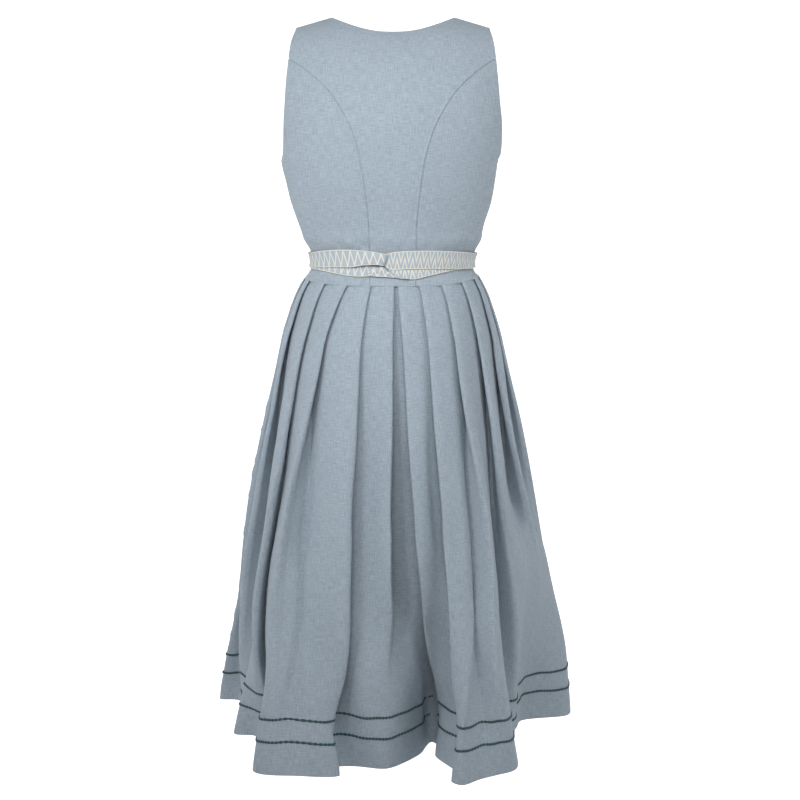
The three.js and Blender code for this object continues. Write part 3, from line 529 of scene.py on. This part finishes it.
def mesh_object(name, points, faces, material, uv=None, sharp=True):
    mesh = bpy.data.meshes.new(name)
    mesh.vertices.add(len(points))
    mesh.vertices.foreach_set("co", (points / 1000).ravel())
    mesh.loops.add(faces.size)
    mesh.loops.foreach_set("vertex_index", faces.ravel())
    mesh.polygons.add(len(faces))
    mesh.polygons.foreach_set("loop_start", np.arange(len(faces)) * faces.shape[1])
    mesh.update(calc_edges=True)
    mesh.polygons.foreach_set("use_smooth", np.ones(len(faces), bool))
    if uv is not None:
        layer = mesh.uv_layers.new(name="cloth")
        layer.data.foreach_set("uv", uv[faces.ravel()].ravel())
    if sharp:
        mesh.set_sharp_from_angle(angle=math.radians(60))
    mesh.validate()
    obj = bpy.data.objects.new(name, mesh)
    bpy.context.scene.collection.objects.link(obj)
    obj.data.materials.append(material)
    return obj


def grid_normals(p):
    u = np.gradient(p, axis=1)
    v = np.gradient(p, axis=0)
    n = np.cross(u, v)
    return n / np.maximum(np.linalg.norm(n, axis=-1, keepdims=True), 1e-9)


# ---- materials ----
def new_material(name):
    material = bpy.data.materials.new(name)
    material.use_nodes = True
    nodes, links = material.node_tree.nodes, material.node_tree.links
    nodes.clear()
    out = nodes.new("ShaderNodeOutputMaterial")
    shader = nodes.new("ShaderNodeBsdfPrincipled")
    links.new(shader.outputs[0], out.inputs["Surface"])
    return material, nodes, links, shader


def math_node(nodes, links, kind, a, b=None):
    node = nodes.new("ShaderNodeMath")
    node.operation = kind
    for i, value in enumerate((a, b)):
        if value is None:
            continue
        if isinstance(value, (int, float)):
            node.inputs[i].default_value = value
        else:
            links.new(value, node.inputs[i])
    return node.outputs[0]


def cloth_coordinates(nodes, links):
    uv = nodes.new("ShaderNodeUVMap")
    uv.uv_map = "cloth"
    split = nodes.new("ShaderNodeSeparateXYZ")
    links.new(uv.outputs[0], split.inputs[0])
    return uv.outputs[0], split.outputs[0], split.outputs[1]


def stretched_noise(nodes, links, vector, scale, size, detail=2.0):
    mapping = nodes.new("ShaderNodeMapping")
    mapping.inputs["Scale"].default_value = scale
    links.new(vector, mapping.inputs["Vector"])
    noise = nodes.new("ShaderNodeTexNoise")
    noise.inputs["Scale"].default_value = size
    noise.inputs["Detail"].default_value = detail
    links.new(mapping.outputs[0], noise.inputs["Vector"])
    return noise.outputs["Fac"]


def mix_colour(nodes, links, factor, a, b):
    node = nodes.new("ShaderNodeMix")
    node.data_type = "RGBA"
    links.new(factor, node.inputs["Factor"])
    for key, value in ((6, a), (7, b)):
        if isinstance(value, tuple):
            node.inputs[key].default_value = (*value, 1)
        else:
            links.new(value, node.inputs[key])
    return node.outputs[2]


def weighted(nodes, links, *terms):
    """A sum of sockets, each times its own number."""
    total = None
    for socket, weight in terms:
        part = math_node(nodes, links, "MULTIPLY", socket, weight)
        total = part if total is None else math_node(nodes, links, "ADD", total, part)
    return total


def between(nodes, links, socket, low, high):
    ramp = nodes.new("ShaderNodeMapRange")
    ramp.inputs["From Min"].default_value = low
    ramp.inputs["From Max"].default_value = high
    links.new(socket, ramp.inputs["Value"])
    return ramp.outputs[0]


def bumped(nodes, links, shader, height, strength, distance):
    bump = nodes.new("ShaderNodeBump")
    bump.inputs["Strength"].default_value = strength
    bump.inputs["Distance"].default_value = distance
    links.new(height, bump.inputs["Height"])
    links.new(bump.outputs[0], shader.inputs["Normal"])


THREAD = 0.00062  # pitch of the linen's threads, in metres
SLUB_WIDE, SLUB_LONG = 0.0010, 0.012  # size of its uneven threads, in metres
ZIGZAG = 12.0  # pitch of the ribbon's zigzags
RIBS = 16  # ribs of the ribbon's weave in one pitch
EDGE_FROM = 0.452  # the ribbon's ivory edges start here, in widths from its middle


def linen(name, light, dark, warm):
    """Plain-woven linen: pale and darker threads with slubs, on the cloth's own coordinates in metres."""
    material, nodes, links, shader = new_material(name)
    uv, u, v = cloth_coordinates(nodes, links)
    warp = stretched_noise(nodes, links, uv, (1 / SLUB_WIDE, 1 / SLUB_LONG, 1), 1.0)
    weft = stretched_noise(nodes, links, uv, (1 / SLUB_LONG, 1 / SLUB_WIDE, 1), 1.0)
    cloud = stretched_noise(nodes, links, uv, (1, 1, 1), 16.0, 3.0)
    slub = weighted(nodes, links, (warp, 0.47), (weft, 0.47), (cloud, 0.06))
    colour = mix_colour(nodes, links, between(nodes, links, slub, 0.41, 0.59), dark, light)
    tint = stretched_noise(nodes, links, uv, (1 / 0.010, 1 / 0.018, 1), 1.0)
    tint = between(nodes, links, tint, 0.56, 0.78)
    colour = mix_colour(nodes, links, math_node(nodes, links, "MULTIPLY", tint, 0.5), colour, warm)
    links.new(colour, shader.inputs["Base Color"])
    shader.inputs["Roughness"].default_value = 0.92
    shader.inputs["Sheen Weight"].default_value = 0.1
    shader.inputs["Sheen Roughness"].default_value = 0.5
    shader.inputs["Specular IOR Level"].default_value = 0.25
    over = math_node(nodes, links, "SINE", math_node(nodes, links, "MULTIPLY", u, 2 * math.pi / THREAD))
    across = math_node(nodes, links, "SINE", math_node(nodes, links, "MULTIPLY", v, 2 * math.pi / THREAD))
    weave = math_node(nodes, links, "MULTIPLY", over, across)
    bumped(nodes, links, shader, weighted(nodes, links, (weave, 0.5), (slub, 3.0)), 0.6, 0.00014)
    return material


def near_line(nodes, links, v, line, half_width):
    away = math_node(nodes, links, "ABSOLUTE", math_node(nodes, links, "SUBTRACT", v, line))
    return math_node(nodes, links, "LESS_THAN", away, half_width)


def ribbon(name, zigzags, half_width):
    """A woven ribbon: ivory zigzags on pale blue. Each zigzag is its lowest place and its height, in widths;
    the cloth's coordinates run in zigzag pitches and ribbon widths."""
    material, nodes, links, shader = new_material(name)
    uv, u, v = cloth_coordinates(nodes, links)
    wave = math_node(nodes, links, "PINGPONG", u, 0.5)
    from_middle = math_node(nodes, links, "ABSOLUTE", math_node(nodes, links, "SUBTRACT", v, 0.5))
    ivory = math_node(nodes, links, "GREATER_THAN", from_middle, EDGE_FROM)
    for low, tall in zigzags:
        line = math_node(nodes, links, "ADD", math_node(nodes, links, "MULTIPLY", wave, 2 * tall), low)
        ivory = math_node(nodes, links, "MAXIMUM", ivory, near_line(nodes, links, v, line, half_width))
    grain = stretched_noise(nodes, links, uv, (16, 34, 1), 1.0)
    pale = mix_colour(nodes, links, grain, (0.27, 0.34, 0.40), (0.42, 0.48, 0.53))
    cream = mix_colour(nodes, links, grain, (0.50, 0.48, 0.41), (0.76, 0.73, 0.64))
    links.new(mix_colour(nodes, links, ivory, pale, cream), shader.inputs["Base Color"])
    shader.inputs["Roughness"].default_value = 0.8
    shader.inputs["Specular IOR Level"].default_value = 0.3
    ribs = math_node(nodes, links, "SINE", math_node(nodes, links, "MULTIPLY", u, 2 * math.pi * RIBS))
    relief = weighted(nodes, links, (ivory, 1.0), (ribs, 0.3), (grain, 0.6))
    bumped(nodes, links, shader, relief, 0.6, 0.0003)
    return material


def thread_material(name, dark, light):
    material, nodes, links, shader = new_material(name)
    place = nodes.new("ShaderNodeNewGeometry")
    noise = stretched_noise(nodes, links, place.outputs["Position"], (1, 1, 1), 900.0)
    colour = mix_colour(nodes, links, between(nodes, links, noise, 0.35, 0.65), dark, light)
    links.new(colour, shader.inputs["Base Color"])
    shader.inputs["Roughness"].default_value = 0.75
    shader.inputs["Sheen Weight"].default_value = 0.1
    return material


LINEN = linen("linen", (0.328, 0.389, 0.446), (0.250, 0.300, 0.347), (0.326, 0.353, 0.400))
RIBBON_ZIGZAG = ribbon("ribbon_zigzag", [(0.06, 0.88)], 0.15)
RIBBON_CROSSED = ribbon("ribbon_crossed", [(0.40, 0.95), (-0.35, 0.95)], 0.15)
CORD = thread_material("hem_cord", (0.006, 0.028, 0.032), (0.035, 0.095, 0.100))


# ---- the skirt ----
def skirt_columns(start, end):
    """Places along the cloth, each with how far it moves as the folds soften."""
    marks = []

    def fold(at):
        for across in (-1, -0.66, -0.33, 0, 0.33, 0.66, 1):
            marks.append((at, across))

    def fill(a, b, pieces):
        for k in range(1, pieces):
            t = k / pieces
            marks.append((mix(a, b, t), mix(1, -1, t)))

    folds = [PITCH, 2 * PITCH]
    for pleat in range(PLEATS // 2 - 1):
        folds += [(3 * pleat + 4) * PITCH, (3 * pleat + 5) * PITCH]
    for f in folds:
        fold(f)
    marks.append((0.0, 0.0))
    for k in (0.25, 0.5, 0.75):
        marks.append((k * PITCH, k * -1.0))
    for a, b in zip(folds[:-1], folds[1:]):
        fill(a, b, 5 if b - a < 1.5 * PITCH else 9)
    half = CLOTH_WIDTH / 2
    fill(folds[-1], half + 0.001, 5)
    right = [m for m in marks if m[0] < half - 1]
    both = right + [(-c, -s) for c, s in right if c > 0] + [(half, 0.0)]
    both += [(c + 2 * half, s) for c, s in both]
    both = [m for m in both if start + 2 < m[0] + m[1] * 2 < end - 2]
    both.sort(key=lambda m: m[0] + m[1] * 2)
    return np.array([(start, 0.0)] + both + [(end, 0.0)])


def skirt_rows():
    return np.unique(np.r_[0, 2, 5, np.arange(9, SKIRT_LENGTH - 4, 8.2), SKIRT_LENGTH - 3, SKIRT_LENGTH])


def skirt_piece(name, start, end):
    columns = skirt_columns(start, end)
    down = skirt_rows()
    turn = turning(down / SKIRT_LENGTH)
    # columns that would cross as the folds widen are held in order
    cloth = columns[None, :, 0] + columns[None, :, 1] * turn[:, None]
    cloth = np.maximum.accumulate(cloth, axis=1)
    cloth = np.clip(cloth, start, end)
    level = np.broadcast_to(down[:, None], cloth.shape)
    p = skirt_place(cloth, level)
    n = -grid_normals(p)
    uv = np.stack([cloth / 1000, level / 1000], -1)
    obj = shell(f"{name}_cloth", p, n, CLOTH, uv, LINEN)
    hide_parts(name)
    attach(obj, "root")


seam_at = SIDE_SEAM * PITCH
skirt_piece("skirt_back", -seam_at + HALF_GAP, seam_at - HALF_GAP)
skirt_piece("skirt_front", seam_at + HALF_GAP, CLOTH_WIDTH - seam_at - HALF_GAP)


def cord_line(name, above_hem):
    """A corded line sewn round the skirt: a row of overcast beads."""
    cloth = np.arange(-CLOTH_WIDTH / 2, CLOTH_WIDTH / 2, 1.0)
    wobble = sum(far * np.sin(cloth / size + shift) for far, size, shift in CORD_WOBBLE)
    down = SKIRT_LENGTH - above_hem + wobble
    p = skirt_place(cloth, down)
    step = np.roll(p, -1, axis=0) - np.roll(p, 1, axis=0)
    step /= np.linalg.norm(step, axis=1, keepdims=True)
    fall = skirt_place(cloth, down + 1.5) - skirt_place(cloth, down - 1.5)
    fall /= np.linalg.norm(fall, axis=1, keepdims=True)
    out = np.cross(step, -fall)
    out /= np.linalg.norm(out, axis=1, keepdims=True)
    bead = np.abs(np.sin(cloth * math.pi / BEAD))
    wide = CORD_WIDE[0] + CORD_WIDE[1] * bead
    tall = CORD_TALL[0] + CORD_TALL[1] * bead
    around = np.arange(CORD_SIDES) * 2 * math.pi / CORD_SIDES
    ring = (
        p[:, None]
        + out[:, None] * (CLOTH / 2 + CORD_OFF + tall[:, None] * np.sin(around))[..., None]
        + fall[:, None] * (wide[:, None] * np.cos(around))[..., None]
    )
    count = len(cloth)
    index = np.arange(count * CORD_SIDES).reshape(count, CORD_SIDES)
    nxt = np.roll(index, -1, axis=0)
    faces = np.stack([index, np.roll(index, -1, axis=1), np.roll(nxt, -1, axis=1), nxt], -1).reshape(-1, 4)
    points = ring.reshape(-1, 3)
    if signed_volume(points, faces) < 0:
        faces = faces[:, ::-1]
    obj = mesh_object(name, points, faces, CORD, None, False)
    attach(obj, "root")


for cord_name, cord_height in CORDS.items():
    cord_line(cord_name, cord_height)


# ---- the bodice's panels ----
def respaced(table, pieces):
    step = np.arange(len(table["height"]))
    at = np.linspace(0, len(step) - 1, pieces + 1)
    return curve(step, table["height"])(at), curve(step, table["out"])(at)


def edge(table, hand, facing, pieces):
    height, out = respaced(table, pieces)
    return np.stack([turn_at(hand * out, height, facing), up_cloth(height)], -1)


def cut(table, low, high):
    keep = [i for i, h in enumerate(table["height"]) if low <= h <= high]
    return {key: [table[key][i] for i in keep] for key in ("height", "out")}


def straight(a, b, pieces):
    t = np.linspace(0, 1, pieces + 1)[:, None]
    return mix(np.array(a, float), np.array(b, float), t)


def patch(bottom, top, left, right, across, up):
    """A grid between four edge lines, crowded toward its edges. The rows run straight from side to side,
    and take up the top edge's dips and corners only as they near it."""
    columns, rows = crowded(across), crowded(up)
    bottom, top = resampled(bottom, columns), resampled(top, columns)
    left, right = resampled(left, rows), resampled(right, rows)
    u = columns[:, None]
    v = rows[:, None, None]
    foot = bottom - mix(bottom[0], bottom[-1], u)
    head = top - mix(top[0], top[-1], u)
    return mix(left[:, None], right[:, None], u[None]) + foot * (1 - v) + head * v**EDGE_PULL


def half_top(neck, hand, facing, pieces):
    shoulder = pieces // 3
    a = [turn_at(hand * SHOULDER_HALF, BODICE_HEIGHT, facing), GIRTH_TOP]
    b = [turn_at(hand * NECK_HALF, BODICE_HEIGHT, facing), GIRTH_TOP]
    line = edge(neck, hand, facing, pieces - shoulder)[::-1]
    return np.concatenate([straight(a, b, shoulder), line[1:]])


def distance_to(p, line):
    """How far each point of a grid lies from a line of points."""
    start, step = line[:-1], np.diff(line, axis=0)
    size = np.maximum((step**2).sum(-1), 1e-9)
    near = []
    for row in p:
        away = row[:, None] - start[None]
        share = np.clip((away * step[None]).sum(-1) / size, 0, 1)
        near.append(np.linalg.norm(away - share[..., None] * step[None], axis=-1).min(1))
    return np.array(near)


def sewn_edges(p, ridges):
    """Sewn edges turn in, and the allowances beneath lift the cloth beside them."""
    reaches = [distance_to(p, line) for line in (p[:, 0], p[:, -1], p[0], p[-1])]
    reach = np.minimum.reduce(reaches)
    groove = -SEAM_DEPTH * np.exp(-((reach / SEAM_WIDTH) ** 2))
    lifts = []
    for away, ridge in zip(reaches, ridges):
        lifts.append(ridge * np.exp(-(((away - RIDGE_AT) / RIDGE_WIDE) ** 2)))
    return groove + np.maximum.reduce(lifts), reach


def creased(p):
    """How far soft creases and the belt's pull move the bodice's cloth out."""
    out, height = p[..., 0], p[..., 2] + BODICE_HEIGHT
    move = BLOUSE["out"] * np.exp(-(((height - BLOUSE["at"]) / BLOUSE["tall"]) ** 2))
    move -= PINCH["in"] * np.exp(-(((height - PINCH["at"]) / PINCH["tall"]) ** 2))
    for facing, x, z, far_x, far_z, depth, reach in CREASES:
        along = np.array([far_x - x, far_z - z], float)
        size = along @ along
        t = np.clip(((out - x) * along[0] + (height - z) * along[1]) / size, 0, 1)
        away = np.hypot(out - x - t * along[0], height - z - t * along[1])
        wide = reach * (CREASE_WIDTH[0] + CREASE_WIDTH[1] * t)
        dent = depth * (1 - t) ** CREASE_FADE * np.exp(-((away / wide) ** 2))
        move -= np.where(p[..., 1] * facing > 0, dent, 0)
    return move


def panel(name, grid, flat, area, ridges):
    p = bodice_point(grid[..., 0], grid[..., 1])
    n = bodice_normal(grid[..., 0], grid[..., 1])
    lift, reach = sewn_edges(p, ridges)
    wave = noise3(p * [1, 1, 0.8], UNEVEN["size"], UNEVEN["seed"]) * UNEVEN["out"]
    p = p + n * (lift + creased(p) + wave * np.clip(reach / UNEVEN["clear"], 0, 1))[..., None]
    uv = np.stack([p[..., 0] / 1000, grid[..., 1] / 1000], -1)
    obj = shell(f"{name}_cloth", p, n, CLOTH, uv, LINEN)
    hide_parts(name)
    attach(obj, "root")


def crowded(pieces):
    """Even steps from 0 to 1, but closer together near both ends, where the seams are."""
    t = np.linspace(0, 1, pieces + 1)
    return t - CROWDING * np.sin(2 * math.pi * t) / (2 * math.pi)


def resampled(line, t):
    own = np.linspace(0, 1, len(line))
    return np.stack([np.interp(t, own, line[:, k]) for k in range(2)], -1)


def back_centre():
    seam_top = BACK_PRINCESS["height"][-1]
    sides = []
    for hand in (-1, 1):
        lower = edge(BACK_PRINCESS, hand, -1, 72)
        upper = edge(cut(BACK_ARMHOLE, seam_top, BODICE_HEIGHT), hand, -1, 24)
        sides.append(np.concatenate([lower, upper[1:]]))
    left = half_top(BACK_NECK, -1, -1, 30)
    right = half_top(BACK_NECK, 1, -1, 30)
    top = np.concatenate([left, right[::-1][1:]])
    foot = BACK_PRINCESS["out"][0]
    bottom = straight([turn_at(-foot, 0, -1), 0], [turn_at(foot, 0, -1), 0], len(top) - 1)
    grid = patch(bottom, top, *sides, 2 * ACROSS, UP)
    panel("bodice_back_centre", grid, (0.30, 0.40), 0.064, (0.55, 0.55, 0.1, 0.3))


def side_panel(name, princess, armhole, hand, facing, flat, area):
    seam_top = princess["height"][-1]
    seam = edge(princess, hand, facing, UP)
    side_turn = 0.0 if hand > 0 else facing * math.pi
    height, _ = respaced(princess, UP)
    upper = mix(BELTED, UNDERARM, (height - BELTED) / (seam_top - BELTED))
    level = np.where(height > BELTED, upper, height)
    side_seam = np.stack([np.full(UP + 1, side_turn), level], -1)
    top = edge(cut(armhole, 0, seam_top), hand, facing, ACROSS)[::-1]
    bottom = straight(seam[0], side_seam[0], ACROSS)
    grid = patch(bottom, top, seam, side_seam, ACROSS, UP)
    panel(name, grid, flat, area, (0.1, 0.1, 0.1, 0.3))


def front_panel(name, hand):
    """Its rows are level. They start on the centre line and, above its foot, on the neck's edge."""
    seam_top = FRONT_PRINCESS["height"][-1]
    neck_height, neck_out = respaced(FRONT_NECK, 300)
    foot = neck_height[0]
    plain = np.linspace(0, foot - 12, UP)
    rounded_foot = np.linspace(foot - 11.6, foot + 24, 90)
    height = np.r_[plain, rounded_foot, np.linspace(foot + 25, BODICE_HEIGHT, 90)]
    seam = curve(FRONT_PRINCESS["height"], FRONT_PRINCESS["out"])
    armhole = curve(FRONT_ARMHOLE["height"], FRONT_ARMHOLE["out"])
    inner = np.where(height > foot, np.interp(height, neck_height, neck_out), 0)
    outer = np.where(height > seam_top, armhole(height), seam(height))
    turns = [turn_at(hand * out, height, 1) for out in (inner, outer)]
    turn = mix(turns[0][:, None], turns[1][:, None], crowded(ACROSS)[None])
    grid = np.stack([turn, np.broadcast_to(up_cloth(height)[:, None], turn.shape)], -1)
    panel(name, grid, (0.17, 0.42), 0.038, (0.3, 0.55, 0.1, 0.3))


back_centre()
for side_name, hand in (("left", -1), ("right", 1)):
    side_panel(f"bodice_back_side_{side_name}", BACK_PRINCESS, BACK_ARMHOLE, hand, -1, (0.16, 0.34), 0.043)
    side_panel(f"bodice_front_side_{side_name}", FRONT_PRINCESS, FRONT_ARMHOLE, hand, 1, (0.14, 0.32), 0.035)
    front_panel(f"bodice_front_{side_name}", hand)


# ---- the belt ----
def strand(rows):
    """A ribbon's middle between its two edges, with its places along and across."""
    table = np.array(rows, float)
    length = np.r_[0, np.cumsum(np.hypot(*np.diff(table[:, [0, 1]] + table[:, [3, 4]], axis=0).T) / 2)]
    step = np.linspace(0, length[-1], max(int(length[-1] / BELT_STEP), 24) + 1)
    upper = [curve(length, table[:, k])(step)[None] for k in (0, 1, 2)]
    lower = [curve(length, table[:, k])(step)[None] for k in (3, 4, 5)]
    across = np.linspace(0, 1, BELT_ACROSS)[:, None]
    along, height, off = (mix(low, high, across) for low, high in zip(lower, upper))
    xy = waist_place(along / WAIST)
    turn = np.arctan2(xy[..., 1] / float(back_at(0)), xy[..., 0] / float(half_at(0)))
    width = upper[1] - lower[1]
    gathered = np.clip((GATHER[0] - width) / GATHER[1], 0, 1)
    ripple = gathered * RIPPLE["out"] * np.sin(across * RIPPLE["across"] + step[None] / RIPPLE["along"])
    away = BELT_LIFT + off + ripple + BELT_CROWN * np.sin(math.pi * across)
    p = bodice_point(turn, height) + bodice_normal(turn, height) * away[..., None]
    return p, along, np.broadcast_to(across, p.shape[:2])


def belt_piece(name, strands, materials):
    parts = []
    for k, rows in enumerate(strands):
        p, along, across = strand(rows)
        uv = np.stack([along / ZIGZAG, across], -1)
        parts.append(shell(f"{name}_{k}", p, grid_normals(p), RIBBON, uv, materials[k]))
    obj = parts[0]
    if len(parts) > 1:
        with bpy.context.temp_override(active_object=obj, object=obj, selected_editable_objects=parts):
            bpy.ops.object.join()
    obj.name = f"{name}_cloth"
    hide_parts(name)
    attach(obj, "root")


for belt_name, belt_rows in BELT.items():
    strands = [belt_rows, BELT_TURN] if belt_name == "belt_lower_right" else [belt_rows]
    first = RIBBON_ZIGZAG if "left" in belt_name else RIBBON_CROSSED
    belt_piece(belt_name, strands, (first, RIBBON_ZIGZAG))


# ---- stage, in metres ----
FLOOR = {"z": -1.36, "wide": 12.0, "front": -3.2, "back": 2.6, "top": 4.0}
COVE = 1.4  # radius of the rise from the floor to the backdrop
COVE_STEPS = 12  # along the flat of the floor, and again up the rise
# The floor glows where it is the ground behind the dress, and less in front, so it doesn't light the folds.
GLOW = (("From Min", -0.3), ("From Max", 0.35), ("To Min", 0.15), ("To Max", 1.0))
WORLD_LIGHT = 0.05
FIELD_OF_VIEW = 30.05  # degrees
FILM = 36  # millimetres
CAMERA = (0.010, -2.273, 0.837 - 1.076)
CAMERA_TARGET = (0.010, 0, 0.5021 - 1.076)
# Area lights: place, target, size, power in watts, spread in degrees.
LIGHTS = {
    "top": ((0, -1.3, 0.6), (0, 0, -0.2), 1.0, 11.5, 180),
    "middle": ((0, -1.4, 0.35), (0, 0, -0.45), 0.8, 1, 70),
    "key": ((-1.3, -1.5, 0.3), (-0.02, 0, -0.38), 0.6, 2.5, 60),
    "side_left": ((-1.9, -0.7, -0.4), (0, 0, -0.5), 1.3, 11, 180),
    "side_right": ((1.8, -1.0, 0.1), (0, 0, -0.35), 1.3, 21, 180),
    "far_side": ((-0.5, 1.9, 0.5), (0, 0, -0.5), 1.2, 10, 180),
}


def aimed(obj, place, target):
    obj.location = place
    obj.rotation_euler = (Vector(target) - Vector(place)).to_track_quat("-Z", "Y").to_euler()
    bpy.context.scene.collection.objects.link(obj)


def stage():
    material, nodes, links, shader = new_material("floor")
    shader.inputs["Base Color"].default_value = (0.45, 0.45, 0.45, 1)
    shader.inputs["Emission Color"].default_value = (1, 1, 1, 1)
    where = nodes.new("ShaderNodeSeparateXYZ")
    links.new(nodes.new("ShaderNodeNewGeometry").outputs["Position"], where.inputs[0])
    glow = nodes.new("ShaderNodeMapRange")
    links.new(where.outputs["Y"], glow.inputs["Value"])
    for label, value in GLOW:
        glow.inputs[label].default_value = value
    links.new(glow.outputs["Result"], shader.inputs["Emission Strength"])
    shader.inputs["Roughness"].default_value = 0.9
    flat = np.linspace(FLOOR["front"], FLOOR["back"], COVE_STEPS, endpoint=False)
    rows = [(y, FLOOR["z"]) for y in flat]
    for k in range(COVE_STEPS + 1):
        rise = k / COVE_STEPS * math.pi / 2
        rows.append((FLOOR["back"] + COVE * math.sin(rise), FLOOR["z"] + COVE * (1 - math.cos(rise))))
    rows.append((FLOOR["back"] + COVE, FLOOR["top"]))
    half = FLOOR["wide"] / 2
    points = np.array([(x * 1000, y * 1000, z * 1000) for y, z in rows for x in (-half, half)])
    faces = np.array([(2 * k, 2 * k + 1, 2 * k + 3, 2 * k + 2) for k in range(len(rows) - 1)])
    mesh_object("floor", points, faces, material, None, False)


def area_light(name, place, target, size, power, beam):
    light = bpy.data.lights.new(name, "AREA")
    light.shape = "SQUARE"
    light.size = size
    light.energy = power
    light.spread = math.radians(beam)
    aimed(bpy.data.objects.new(name, light), place, target)


stage()
for light_name, light_row in LIGHTS.items():
    area_light(light_name, *light_row)
world = bpy.data.worlds.new("studio")
world.use_nodes = True
world.node_tree.nodes["Background"].inputs[0].default_value = (1, 1, 1, 1)
world.node_tree.nodes["Background"].inputs[1].default_value = WORLD_LIGHT
bpy.context.scene.world = world
bpy.context.scene.view_settings.view_transform = "Standard"

camera = bpy.data.cameras.new("camera")
camera.sensor_width = FILM
camera.sensor_height = FILM
camera.lens = FILM / (2 * math.tan(math.radians(FIELD_OF_VIEW) / 2))
camera_object = bpy.data.objects.new("camera", camera)
aimed(camera_object, CAMERA, CAMERA_TARGET)
bpy.context.scene.camera = camera_object
